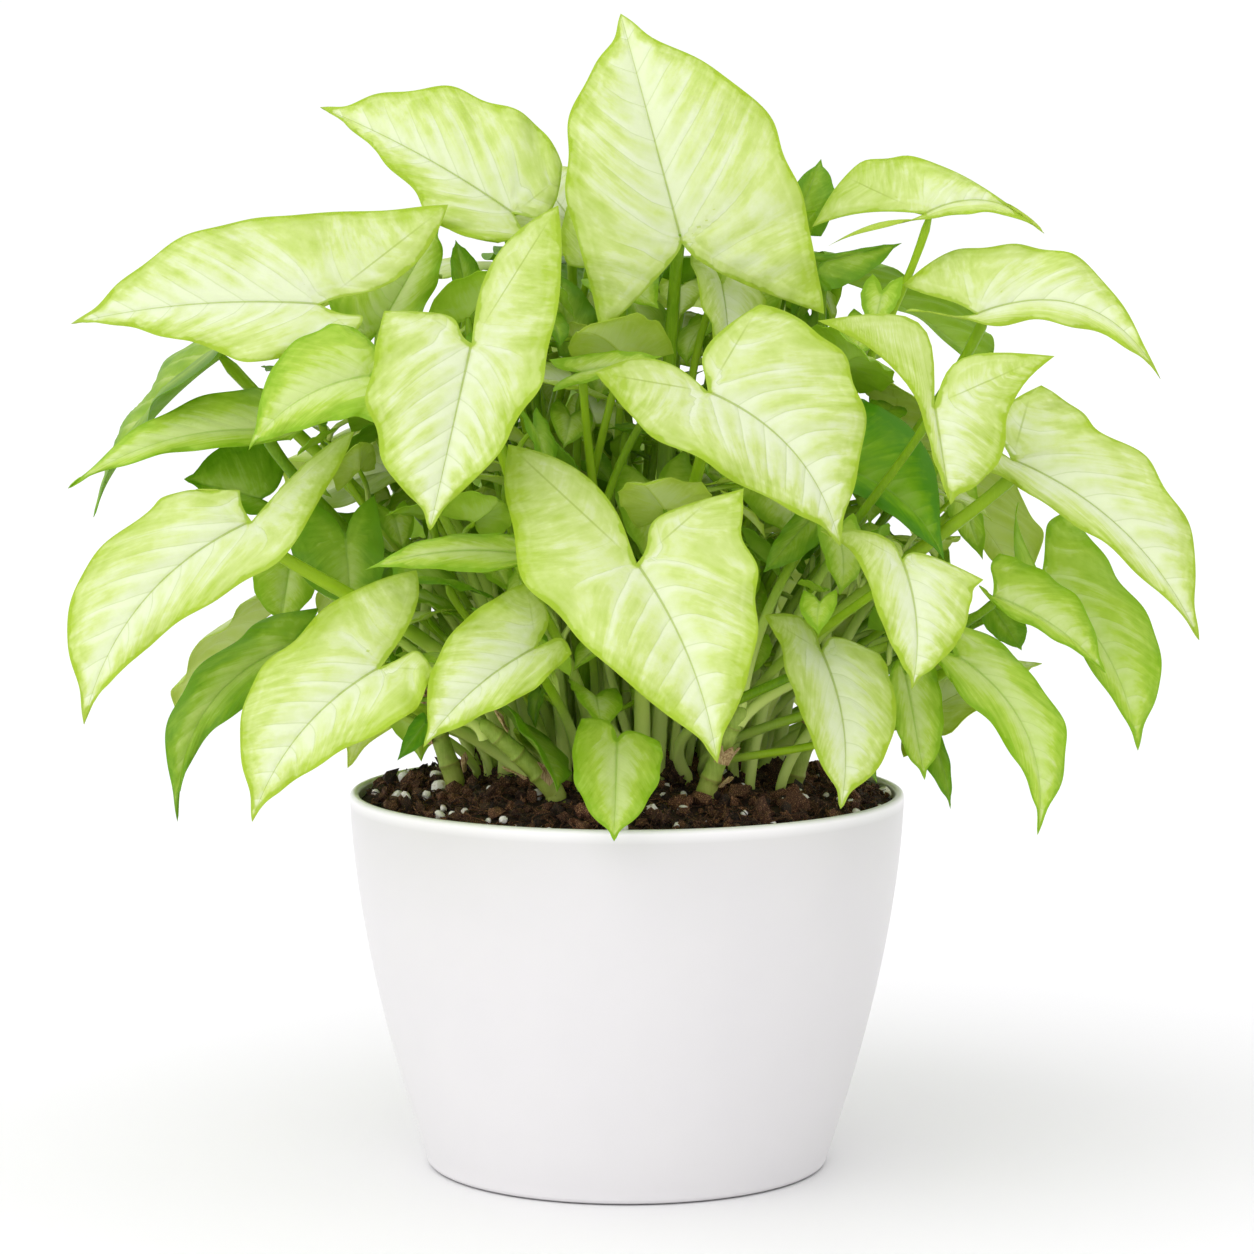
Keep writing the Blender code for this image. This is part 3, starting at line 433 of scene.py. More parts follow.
def blade_sheet(blade, rows, columns):
    """Points, triangles and direction of the blade's middle surface, as coarse as in the CAD model."""
    spots, faces, _ = joined_halves(blade, len(rows), columns + 1, rows.index(SINUS_ROW))
    points = []
    for side, row, column in spots:
        edge, lobe = blade.sides[side]
        points.append(blade_point(blade, edge, lobe, rows[row], column / columns))
    triangles = []
    for face in faces:
        triangles += [[face[0], face[i], face[i + 1]] for i in range(1, len(face) - 1)]
    return points, triangles, blade.normal


def stalk_path(start, blade, sway, steps, end=STALK_END):
    edge, lobe = blade.sides[0]
    joint = blade_point(blade, edge, lobe, SINUS_ROW + 0.03, 0.0)
    reach = joint - start
    flat_reach = Vector((reach.x, reach.y, 0.0))
    aside = Vector((-reach.y, reach.x, 0.0))
    aside = aside.normalized() * sway if aside.length > 1e-6 else Vector((sway, 0.0, 0.0))
    rise = straight_up(max(reach.z, 0.02) * STALK_UPRIGHT)
    second = start + rise + flat_reach * STALK_LEAN + aside
    third = joint - reach * NECK_REACH - blade.normal * (NECK_DROP * reach.length) + aside * 0.5
    last = joint + blade.normal * end
    return [bezier3(start, second, third, last, step / steps) for step in range(steps + 1)]


def taper(count, thick, thin):
    return [thick + (thin - thick) * i / (count - 1) for i in range(count)]


def test_shape(sheets, tubes):
    """A search tree of blades and stalks made thicker by the clear room that they keep."""
    points = []
    faces = []
    for sheet_points, sheet_faces, normal in sheets:
        for lift in (CLEARANCE, -CLEARANCE - BLADE_THICKNESS):
            first = len(points)
            points += [point + normal * lift for point in sheet_points]
            faces += [[first + i for i in face] for face in sheet_faces]
    for path, radii in tubes:
        first = len(points)
        for i, (place, radius) in enumerate(zip(path, radii)):
            ahead = path[min(i + 1, len(path) - 1)] - path[max(i - 1, 0)]
            side = ahead.orthogonal().normalized()
            other = ahead.cross(side).normalized()
            for corner in range(4):
                angle = math.tau * corner / 4.0
                way = side * math.cos(angle) + other * math.sin(angle)
                points.append(place + way * (radius + CLEARANCE) * 1.15)
        for i in range(len(path) - 1):
            for corner in range(4):
                a = first + 4 * i + corner
                b = first + 4 * i + (corner + 1) % 4
                faces.append([a, b, b + 4])
                faces.append([a, b + 4, a + 4])
    lows = [min(point[axis] for point in points) for axis in range(3)]
    highs = [max(point[axis] for point in points) for axis in range(3)]
    return BVHTree.FromPolygons(points, faces), lows, highs


def is_clear(shape, others):
    tree, lows, highs = shape
    for other_tree, other_lows, other_highs in others:
        if any(lows[axis] > other_highs[axis] or highs[axis] < other_lows[axis] for axis in range(3)):
            continue
        if tree.overlap(other_tree):
            return False
    return True


def foot_slots(shifts=(0.0,)):
    """Places for stalk feet: a honeycomb over the middle of the soil, or the gaps of that honeycomb."""
    slots = []
    rows = int(FOOT_CIRCLE / FOOT_SPACING) + 2
    for row in range(-rows, rows + 1):
        for column in range(-rows, rows + 1):
            across = (column + 0.5 * (row % 2)) * FOOT_SPACING
            for shift in shifts:
                back = row * FOOT_SPACING * math.sqrt(0.75) + shift
                if math.hypot(across, back) < FOOT_CIRCLE:
                    slots.append(Vector((across, back, 0.0)))
    return slots


def nearest_slots(slots, joint):
    reach = Vector((joint.x, joint.y, 0.0))
    wanted = reach * FOOT_LEAN
    if reach.length > 1e-6:
        wanted += reach.normalized() * FOOT_STEP
    return sorted(slots, key=lambda slot: (slot - wanted).length)


def stalk_from(slot, blade, sway, thick):
    ground = soil_height(slot.x, slot.y)
    foot = Vector((slot.x, slot.y, ground - HOLE_DEPTH + SOIL_GAP))
    start = Vector((slot.x, slot.y, ground + STALK_RISE))
    path = [foot] + stalk_path(start, blade, sway, STALK_STEPS)
    return path, [thick] + taper(len(path) - 1, thick, min(thick, NECK_RADIUS))


def find_place(choices, rows, slots, taken, thick=FOOT_RADIUS):
    """The first choice of blade, foot and sway that stays clear of what already stands, or nothing."""
    for blade in choices:
        sheet = test_shape([blade_sheet(blade, rows, LEAF_COLUMNS)], [])
        if not is_clear(sheet, taken):
            continue
        for slot in nearest_slots(slots, blade.place(0.0, 0.0))[:MOST_SLOTS]:
            for sway in SWAYS:
                stalk = test_shape([], [stalk_from(slot, blade, sway, thick)])
                if is_clear(stalk, taken):
                    taken += [sheet, stalk]
                    slots.remove(slot)
                    return blade, slot, sway
    return None


def back_choices(tier, number, draw):
    """Blades for one leaf of the hidden side: at the wanted place first, then turned and lifted a little."""
    _, count, distance, height, length, pitch, share = tier
    spread = math.pi * share
    turn = 0.5 * math.pi + spread * ((number + 0.5) / count - 0.5) + draw.uniform(*BACK_TURN)
    distance = distance * draw.uniform(*BACK_DISTANCE)
    height = height + draw.uniform(*BACK_HEIGHT)
    length = length * draw.uniform(*BACK_LENGTH)
    pitch = math.radians(pitch + draw.uniform(*BACK_PITCH))
    roll = math.radians(draw.uniform(*BACK_ROLL))
    shape_seed = draw.random()
    choices = []
    for lift in LIFTS:
        for further in REACHES:
            for swing in SWINGS:
                outward = heading(turn + swing)
                joint = outward * (distance + further) + straight_up(height + lift)
                choices.append(free_blade(joint, outward, pitch, roll, length, random.Random(shape_seed)))
    return choices


def cane_layout(foot, top, small_leaves):
    foot = Vector((foot[0], foot[1], 0.0)) * MM
    top = Vector(top) * MM
    ground = soil_height(foot.x, foot.y)
    low = Vector((foot.x, foot.y, ground - HOLE_DEPTH + SOIL_GAP))
    start = Vector((foot.x, foot.y, ground + STALK_RISE))
    middle = start.lerp(top, 0.5) + straight_up(STALK_RISE)
    cane = ([low, start, middle, top], [CANE_RADIUS * share for share in CANE_TAPER])
    blades = [blade_of(leaf, 0.0) for leaf in small_leaves]
    branches = []
    for blade in blades:
        path = stalk_path(top - straight_up(SMALL_STALK_DROP), blade, 0.0, SMALL_STALK_STEPS)
        branches.append((path, taper(len(path), SMALL_STALK_RADIUS, NECK_RADIUS)))
    return foot, cane, blades, branches


# Shader maths


def plug(tree, socket, value):
    """Sets a socket to a value or links it."""
    if isinstance(value, Socket):
        tree.links.new(value.link, socket)
    else:
        socket.default_value = value


class Socket:
    """The output of a node, for use in plain arithmetic."""

    def __init__(self, tree, link):
        self.tree = tree
        self.link = link

    def maths(self, operation, *values):
        node = self.tree.nodes.new("ShaderNodeMath")
        node.operation = operation
        for place, value in enumerate(values):
            plug(self.tree, node.inputs[place], value)
        return Socket(self.tree, node.outputs[0])

    def __add__(self, other):
        return self.maths("ADD", self, other)

    def __radd__(self, other):
        return self.maths("ADD", other, self)

    def __sub__(self, other):
        return self.maths("SUBTRACT", self, other)

    def __rsub__(self, other):
        return self.maths("SUBTRACT", other, self)

    def __mul__(self, other):
        return self.maths("MULTIPLY", self, other)

    def __abs__(self):
        return self.maths("ABSOLUTE", self)

    def fract(self):
        return self.maths("FRACT", self)

    def least(self, other):
        return self.maths("MINIMUM", self, other)

    def most(self, other):
        return self.maths("MAXIMUM", self, other)

    def clamped(self):
        return self.most(0.0).least(1.0)

    def rise(self, low, high):
        """0 below low, 1 above high and a smooth step between."""
        node = self.tree.nodes.new("ShaderNodeMapRange")
        node.interpolation_type = "SMOOTHSTEP"
        node.inputs["From Min"].default_value = low
        node.inputs["From Max"].default_value = high
        plug(self.tree, node.inputs["Value"], self)
        return Socket(self.tree, node.outputs["Result"])

    def fall(self, low, high):
        return 1.0 - self.rise(low, high)


class Finish:
    """A material, with the tools that lay out its nodes."""

    def __init__(self, name):
        self.material = bpy.data.materials.new(name)
        self.material.use_nodes = True
        self.tree = self.material.node_tree
        self.tree.nodes.clear()

    def node(self, kind, settings, sockets, output=0):
        """Adds a node, sets its settings and then its sockets, and gives one of its outputs."""
        node = self.tree.nodes.new(kind)
        for key, value in settings.items():
            setattr(node, key, value)
        for key, value in sockets.items():
            plug(self.tree, node.inputs[key], value)
        return Socket(self.tree, node.outputs[output])

    def point_values(self, name):
        """The three numbers of a point attribute."""
        vector = self.node("ShaderNodeAttribute", {"attribute_name": name}, {}, "Vector")
        parts = self.tree.nodes.new("ShaderNodeSeparateXYZ")
        self.tree.links.new(vector.link, parts.inputs[0])
        return [Socket(self.tree, parts.outputs[i]) for i in range(3)]

    def place(self, stretch=(1.0, 1.0, 1.0)):
        """The place on the piece in millimetres, stretched."""
        spot = self.node("ShaderNodeTexCoord", {}, {}, "Object")
        scale = tuple(1.0 / (MM * value) for value in stretch)
        return self.node("ShaderNodeVectorMath", {"operation": "MULTIPLY"}, {0: spot, 1: scale})

    def vector(self, x, y, z):
        return self.node("ShaderNodeCombineXYZ", {}, {0: x, 1: y, 2: z})

    def noise(self, where, size, detail=3.0, rough=0.55):
        """Soft noise whose spots are about this size."""
        sockets = {"Vector": where, "Scale": 1.0 / size, "Detail": detail, "Roughness": rough}
        return self.node("ShaderNodeTexNoise", {}, sockets, "Fac")

    def tint(self, factor, first, second):
        """Goes from the first colour to the second."""
        sockets = {0: factor, 6: first, 7: second}
        return self.node("ShaderNodeMix", {"data_type": "RGBA"}, sockets, 2)

    def bump(self, height, depth, strength=1.0):
        sockets = {"Height": height, "Distance": depth, "Strength": strength}
        return self.node("ShaderNodeBump", {}, sockets, "Normal")

    def surface(self, sockets, through=None, share=0.0):
        """The plain shader, with light let through the thin tissue where a colour for it is given."""
        shader = self.node("ShaderNodeBsdfPrincipled", {}, sockets)
        if through is not None:
            glow = self.node("ShaderNodeBsdfTranslucent", {}, {"Color": through})
            shader = self.node("ShaderNodeMixShader", {}, {0: share, 1: shader, 2: glow})
        outlet = self.tree.nodes.new("ShaderNodeOutputMaterial")
        plug(self.tree, outlet.inputs["Surface"], shader)
        return self.material


def colour(red, green, blue):
    """A colour from its eight-bit screen values."""
    parts = []
    for value in (red, green, blue):
        value = value / 255.0
        parts.append(value / 12.92 if value <= 0.04045 else ((value + 0.055) / 1.055) ** 2.4)
    return (parts[0], parts[1], parts[2], 1.0)


# Finishes

LeafTone = namedtuple("LeafTone", "cream body deep edge rib under through share greenness")
LEAF_TONES = {
    "pale": LeafTone(colour(246, 250, 224), colour(224, 236, 158), colour(184, 209, 76), colour(164, 194, 34),
                     colour(152, 174, 40), colour(194, 214, 84), colour(224, 240, 124), 0.36, 0.0),
    "lime": LeafTone(colour(230, 242, 164), colour(200, 224, 88), colour(156, 196, 38), colour(142, 186, 26),
                     colour(178, 206, 92), colour(164, 198, 50), colour(196, 230, 70), 0.36, 0.03),
    "green": LeafTone(colour(208, 226, 126), colour(166, 200, 58), colour(120, 168, 24), colour(116, 166, 26),
                      colour(160, 192, 84), colour(130, 172, 36), colour(164, 208, 34), 0.36, 0.2),
    "dark": LeafTone(colour(160, 200, 70), colour(136, 188, 16), colour(88, 154, 4), colour(94, 154, 20),
                     colour(140, 184, 66), colour(92, 142, 22), colour(130, 190, 20), 0.30, 0.3),
}

# Where lines and shades of a leaf are full and where they end, in millimetres from vein, midrib or margin
VEIN_LINE = (0.08, 0.27)
VEIN_CREAM = (0.2, 3.0)
RIB_LINE = (0.28, 0.62)
RIB_CREAM = (0.5, 8.0)
LOBE_LINE = (0.12, 0.36)
LOOP_VEIN = 3.6
LOOP_WIDTH = (0.2, 1.2)
MARGIN_LINE = (0.30, 1.0)
MARGIN_SHADE = (0.8, 8.0)
PATCH_SIZE = 8.0


def leaf_finish(name, tone):
    """Leaf tissue: creamy along its veins, feathered green between them, with a pale loop vein and a green
    margin. Distances from veins, midrib and margin are in millimetres."""
    mix = Finish(name)
    across, vein, pitch = mix.point_values("leaf_way")
    margin, rib, lobe = mix.point_values("leaf_gap")
    own, under, along = mix.point_values("leaf_own")
    vein_gap = abs((vein + 0.5).fract() - 0.5) * pitch
    shown = across.fall(0.35, 0.85) * pitch.rise(2.0, 6.0) * along.rise(-0.25, 0.05)
    streaks = mix.noise(mix.vector(vein * 2.4, across * 2.2, own * 41.0), 1.0, 2.0, 0.5)
    feather = mix.noise(mix.vector(vein * 8.0, across * 6.5, own * 67.0), 1.0, 3.0, 0.6)
    patches = mix.noise(mix.place(), PATCH_SIZE, 3.0, 0.6)
    outer = across.rise(0.05, 0.75)
    # The sawtooth across each gap between veins, lighter just after a vein and greener before the next, is
    # painted shading of the quilted relief.
    depth = tone.greenness + 0.30 + outer * 0.22 + (vein.fract() - 0.5) * shown * 0.32
    depth = depth + (streaks.rise(0.25, 0.75) - 0.5) * (0.18 + outer * 0.28)
    depth = depth + (feather - 0.5) * (0.16 + outer * 0.42) + (patches - 0.5) * 0.8
    depth = depth + margin.fall(*MARGIN_SHADE) * 0.36 + (own - 0.5) * 0.12 + along.fall(-0.40, 0.0) * 0.12
    depth = depth - rib.fall(*RIB_CREAM) * 0.22 - vein_gap.fall(*VEIN_CREAM) * shown * 0.26
    loop_gap = abs(margin - LOOP_VEIN + (patches - 0.5) * 5.0)
    depth = depth - loop_gap.fall(*LOOP_WIDTH) * 0.13
    body = mix.tint((depth * 2.0).clamped(), tone.cream, tone.body)
    body = mix.tint((depth * 1.7 - 0.75).clamped(), body, tone.deep)
    body = mix.tint(vein_gap.fall(*VEIN_LINE) * shown * 0.26, body, tone.rib)
    body = mix.tint(abs(lobe).fall(*LOBE_LINE) * margin.rise(1.0, 9.0) * 0.55, body, tone.rib)
    body = mix.tint((rib + along * 0.40).fall(*RIB_LINE) * 0.66, body, tone.rib)
    wide = margin - patches.rise(0.40, 0.68) * 1.1
    body = mix.tint(wide.fall(*MARGIN_LINE) * 0.85, body, tone.edge)
    body = mix.tint(under * 0.62, body, tone.under)
    relief = vein_gap.rise(0.1, 0.9) * shown + rib.rise(0.2, 1.0) + mix.noise(mix.place(), 1.3, 1.0, 0.5)
    sockets = {"Base Color": body, "Roughness": 0.38 + patches * 0.10 + under * 0.15}
    sockets["Specular IOR Level"] = 0.30
    sockets["Normal"] = mix.bump(relief, 0.00022, 0.5)
    return mix.surface(sockets, tone.through, tone.share)


def stalk_finish():
    """Leaf stalks: yellowish and pale at the foot, a paleness partly painted light against the shade low in
    the clump, fresh green above, with fine lengthwise lines.
    """
    mix = Finish("stalk green")
    along, own, _ = mix.point_values("stalk_way")
    lines = mix.noise(mix.place((0.5, 0.5, 9.0)), 1.0, 2.0, 0.6)
    patches = mix.noise(mix.place(), 7.0, 3.0, 0.6)
    fresh = mix.tint((own + (patches - 0.5) * 0.6).clamped(), colour(100, 144, 6), colour(176, 210, 40))
    fresh = mix.tint((lines - 0.45).clamped() * 1.2, fresh, colour(180, 212, 56))
    # The pale foot is partly the stalk's own colour and partly painted light, brightened to cancel the shade
    # low in the clump.
    foot = mix.tint(along.fall(0.05, 0.70) * 0.92, fresh, colour(226, 242, 138))
    neck = mix.tint(along.rise(0.86, 1.0) * 0.35, foot, colour(158, 194, 54))
    sockets = {"Base Color": neck, "Roughness": 0.32 + (lines - 0.5) * 0.2, "Specular IOR Level": 0.22}
    sockets["Normal"] = mix.bump(lines, 0.0002, 0.4)
    return mix.surface(sockets, colour(184, 224, 60), 0.24)


def cane_finish():
    """Short stems: yellow green and a little woody, brown along their rings and in old scars."""
    mix = Finish("cane")
    along, ring, _ = mix.point_values("cane_way")
    lines = mix.noise(mix.place((0.6, 0.6, 6.0)), 1.0, 3.0, 0.6)
    patches = mix.noise(mix.place(), 4.0, 4.0, 0.65)
    green = mix.tint((patches * 1.6 - 0.4).clamped(), colour(134, 164, 46), colour(180, 200, 90))
    green = mix.tint((lines - 0.42).clamped() * 1.4, green, colour(112, 142, 34))
    low = mix.tint(along.fall(0.0, 0.35) * 0.35, green, colour(168, 156, 84))
    scar = (ring.rise(0.72, 0.99) * 0.40 + patches.rise(0.62, 0.74) * 0.22).clamped()
    body = mix.tint(scar, low, colour(122, 86, 46))
    rough = 0.52 + patches * 0.2
    height = lines * 0.6 + patches + ring
    return mix.surface({"Base Color": body, "Roughness": rough, "Normal": mix.bump(height, 0.0004, 0.6)})


def sheath_finish():
    """Dry papery scraps of old leaf sheaths."""
    mix = Finish("dry sheath")
    lines = mix.noise(mix.place((0.5, 0.5, 7.0)), 1.0, 2.0, 0.6)
    body = mix.tint(lines.rise(0.3, 0.7), colour(142, 104, 62), colour(206, 184, 132))
    return mix.surface({"Base Color": body, "Roughness": 0.75, "Normal": mix.bump(lines, 0.0002, 0.4)})


def pot_finish():
    """Satin white glaze, with painted light: a painted highlight on the lip's top, painted light over the
    inner wall, and a painted contact shadow along the foot.
    """
    mix = Finish("satin white pot")
    cloud = mix.noise(mix.place(), 24.0, 2.0, 0.5)
    grain = mix.noise(mix.place(), 0.6, 2.0, 0.5)
    lip, foot, _ = mix.point_values("pot_way")
    body = mix.tint(cloud, colour(219, 217, 219), colour(223, 221, 222))
    # Painted light: the lip's top is painted near white as a highlight, and the whole inner wall as painted
    # light against the shade of the leaves.
    body = mix.tint(lip, body, colour(248, 246, 249))
    # Painted contact shadow: the foot's lowest band is tinted dark grey
    body = mix.tint(foot * 0.9, body, colour(70, 68, 68))
    rough = 0.34 + (cloud - 0.5) * 0.10
    return mix.surface({"Base Color": body, "Roughness": rough, "Normal": mix.bump(grain, 0.00004, 0.3)})


def soil_finish(name, dark, mid, warm):
    """Coir and bark: dark brown, warmer where fibres show; where the warm colour is light the strands are
    partly painted highlights.
    """
    mix = Finish(name)
    own, _, _ = mix.point_values("soil_own")
    lumps = mix.noise(mix.place(), 1.6, 4.0, 0.7)
    strands = mix.noise(mix.place((0.5, 2.4, 0.8)), 0.45, 3.0, 0.70)
    body = mix.tint((own * 0.8 + lumps * 1.1 - 0.6).clamped(), dark, mid)
    # Warm strands: the fibres' own colour, and where the warm colour is light, painted highlights on lit
    # fibres too.
    body = mix.tint((strands.rise(0.50, 0.72) * (0.15 + own * 0.8)).clamped(), body, warm)
    height = lumps + strands
    return mix.surface({"Base Color": body, "Roughness": 0.85, "Normal": mix.bump(height, 0.0007, 0.9)})


def perlite_finish():
    """Perlite: white, finely pitted grains, soiled in places."""
    mix = Finish("perlite")
    own, _, _ = mix.point_values("soil_own")
    pits = mix.noise(mix.place(), 0.5, 3.0, 0.6)
    soil = mix.noise(mix.place(), 1.6, 3.0, 0.6)
    body = mix.tint((soil - 0.58 + own * 0.12).clamped() * 3.0, colour(255, 248, 250), colour(182, 146, 122))
    return mix.surface({"Base Color": body, "Roughness": 0.8, "Normal": mix.bump(pits, 0.0003, 0.7)})


def floor_finish():
    mix = Finish("pale floor")
    cloud = mix.noise(mix.place(), 300.0, 2.0, 0.5)
    body = mix.tint(cloud, colour(239, 238, 240), colour(242, 241, 243))
    return mix.surface({"Base Color": body, "Roughness": 0.6})


# Putting pieces together


def put_in(name, data):
    """Puts a mesh, light or camera into the scene."""
    thing = bpy.data.objects.new(name, data)
    bpy.context.scene.collection.objects.link(thing)
    return thing


class Piece:
    """Points and faces of one piece while it is put together."""

    def __init__(self):
        self.points = []
        self.faces = []
        self.finish_of = []
        self.count = 0
        self.values = {}

    def add(self, points, faces, finish=0, **values):
        """Adds a body with its own finish and, for each of its points, three numbers under each name."""
        points = np.asarray(points, dtype=np.float64).reshape(-1, 3)
        for name in values:
            if name not in self.values:
                self.values[name] = [np.zeros((self.count, 3))] if self.count else []
        for name, rows in self.values.items():
            given = values.get(name)
            filled = np.zeros((len(points), 3)) if given is None else np.broadcast_to(given, (len(points), 3))
            rows.append(filled)
        self.faces += [[self.count + i for i in face] for face in faces]
        self.finish_of += [finish] * len(faces)
        self.points.append(points)
        self.count += len(points)

    def build(self, name, finishes, slot, nodes=(), sharp=50.0):
        """Makes the mesh object, puts it on the plant's body and lets it stand for its nodes."""
        mesh = bpy.data.meshes.new(name)
        mesh.from_pydata(np.concatenate(self.points).tolist(), [], self.faces)
        for value_name, rows in self.values.items():
            attribute = mesh.attributes.new(value_name, "FLOAT_VECTOR", "POINT")
            attribute.data.foreach_set("vector", np.concatenate(rows).astype(np.float32).ravel())
        for finish in finishes:
            mesh.materials.append(finish)
        mesh.polygons.foreach_set("material_index", self.finish_of)
        mesh.shade_smooth()
        mesh.set_sharp_from_angle(angle=math.radians(sharp))
        thing = put_in(name, mesh)
        for node in nodes:
            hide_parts(node)
        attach(thing, BODY)
        return thing


def closed_sheet(faces, first):
    """Faces of a thin closed body: the sheet, its reversed copy first points further on, and its rim."""
    edges = {(face[k - 1], face[k]) for face in faces for k in range(len(face))}
    below = [[first + i for i in reversed(face)] for face in faces]
    rim = [[b, a, first + a, first + b] for a, b in sorted(edges) if (b, a) not in edges]
    return faces + below + rim


def swept(path, radii, sides, flat=None):
    """Points and faces of a closed round body along a path. flat gives each ring's width and depth."""
    path = [Vector(place) for place in path]
    points = []
    side = (path[1] - path[0]).orthogonal().normalized()
    for i, (place, radius) in enumerate(zip(path, radii)):
        ahead = (path[min(i + 1, len(path) - 1)] - path[max(i - 1, 0)]).normalized()
        side = (side - ahead * side.dot(ahead)).normalized()
        other = ahead.cross(side)
        wide, deep = flat[i] if flat else (1.0, 1.0)
        for corner in range(sides):
            angle = math.tau * corner / sides
            over = side * (radius * wide * math.cos(angle))
            points.append(place + over + other * (radius * deep * math.sin(angle)))
    faces = []
    for ring in range(len(path) - 1):
        for corner in range(sides):
            a = ring * sides + corner
            b = ring * sides + (corner + 1) % sides
            faces.append([a, b, b + sides, a + sides])
    first = len(points)
    points += [path[0], path[-1]]
    last_ring = (len(path) - 1) * sides
    for corner in range(sides):
        following = (corner + 1) % sides
        faces.append([first, following, corner])
        faces.append([first + 1, last_ring + corner, last_ring + following])
    return points, faces


# Fine blades

VEINS = 6.8
FAN_ANGLE = math.radians(28.0)
LEAST_LEAN = 0.20
MOST_LEAN = 0.80
LEAST_BEND = 0.9
MOST_BEND = 1.9
BEND_FULL = 0.9
BEND_END = 1.9
LOBE_DENSITY = 1.2
LOBE_BLEND = 0.6
IDEAL_WIDTH = 0.5
QUILT = 0.017
RIB_GROOVE = 0.0045
RIB_GROOVE_WIDTH = 0.028
SMOOTHING = 9
NOTCH_WIDTH = 0.046
NOTCH_DEPTH = 0.11
NOTCH_ROUND = 0.010
RIPPLE = 0.0085
RIPPLES = 4.4
DRIP_TIP = 0.34
FINE_THICKNESS = 0.00042
RIDGE = 0.0009
RIDGE_WIDTH = 1.3
THIN_MARGIN = 1.5
LOBE_LEAN = 0.55
LEAST_LOBE_ANGLE = 1.9
BROAD_HALF = 0.42
LOBE_SHARE = 0.5
HALF_SHARE = 0.30


def bell(value, middle, width):
    """1 at the middle, and soon near 0 further than the width from it."""
    return math.exp(-(((value - middle) / width) ** 2))


def smooth_step(share):
    share = min(max(share, 0.0), 1.0)
    return share * share * (3.0 - 2.0 * share)


def vein_number(ahead, aside, lobe_ahead, lobe_aside, lean, arc):
    """Which side vein runs through a point of the ideal leaf, one long and one wide: whole numbers are veins.
    They leave the midrib, or fan out of the joint, and bend towards the tip, or in a lobe towards its end."""
    first_angle = math.atan2(1.0, lean)
    raw = math.atan2(aside, ahead)
    bend = arc * aside * aside * smooth_step((raw - BEND_END) / (BEND_FULL - BEND_END))
    start = ahead - lean * aside - bend
    angle = math.atan2(aside, ahead - bend)
    if start > 0.0:
        front = VEINS * start
    else:
        front = -(angle - first_angle) / FAN_ANGLE
    lobe_length = math.hypot(lobe_ahead, lobe_aside) + 1e-6
    way = (lobe_ahead / lobe_length, lobe_aside / lobe_length)
    lobe_angle = math.atan2(way[1], way[0])
    down = ahead * way[0] + aside * way[1]
    off = way[0] * aside - way[1] * ahead
    wide = abs(off)
    lobe_start = down - LOBE_LEAN * wide
    turn = math.atan2(wide, down)
    lobe_first = math.atan2(1.0, LOBE_LEAN)
    middle = 0.5 * (first_angle + lobe_angle)
    base = -(middle - first_angle) / FAN_ANGLE
    half = lobe_angle - middle
    if lobe_start > 0.0:
        rear = base - (half - lobe_first) / FAN_ANGLE - VEINS * LOBE_DENSITY * lobe_start
    else:
        rear = base - (half - turn) / FAN_ANGLE
    return front + (rear - front) * smooth_step((raw - middle) / LOBE_BLEND + 0.5), off


def per_millimetre(places, values):
    """How far apart whole steps of a value lie on a grid of places, in millimetres."""
    down = np.gradient(places, axis=0)
    over = np.gradient(places, axis=1)
    value_down = np.gradient(values, axis=0)
    value_over = np.gradient(values, axis=1)
    dd = (down * down).sum(2)
    oo = (over * over).sum(2)
    do = (down * over).sum(2)
    under = dd * oo - do * do + 1e-16
    a = (value_down * oo - value_over * do) / under
    b = (value_over * dd - value_down * do) / under
    slope = np.sqrt(np.maximum(a * value_down + b * value_over, 1e-9))
    return np.clip(1.0 / slope / MM, 0.5, 60.0)


def distances(points, line):
    """Distance of each point from a chain of points, in millimetres."""
    start = line[:-1]
    step = line[1:] - start
    length = (step * step).sum(1) + 1e-14
    least = np.full(len(points), 1e9)
    for i in range(len(start)):
        offset = points - start[i]
        share = np.clip((offset @ step[i]) / length[i], 0.0, 1.0)
        gap = offset - share[:, None] * step[i]
        least = np.minimum(least, (gap * gap).sum(1))
    return np.sqrt(least) / MM


def point_normals(points, faces):
    """Average outward direction at each point."""
    normals = np.zeros_like(points)
    for size in (3, 4):
        chosen = np.array([face for face in faces if len(face) == size])
        if len(chosen) == 0:
            continue
        corners = points[chosen]
        if size == 3:
            facing = np.cross(corners[:, 1] - corners[:, 0], corners[:, 2] - corners[:, 0])
        else:
            facing = np.cross(corners[:, 2] - corners[:, 0], corners[:, 3] - corners[:, 1])
        for corner in range(size):
            np.add.at(normals, chosen[:, corner], facing)
    return normals / (np.linalg.norm(normals, axis=1)[:, None] + 1e-12)


def smooth_border(border):
    """Takes the small corners out of a border, whose ends stay where they are."""
    border = np.array(border)
    for _ in range(SMOOTHING):
        border[1:-1] = 0.25 * border[:-2] + 0.5 * border[1:-1] + 0.25 * border[2:]
    return [Vector(point) for point in border]


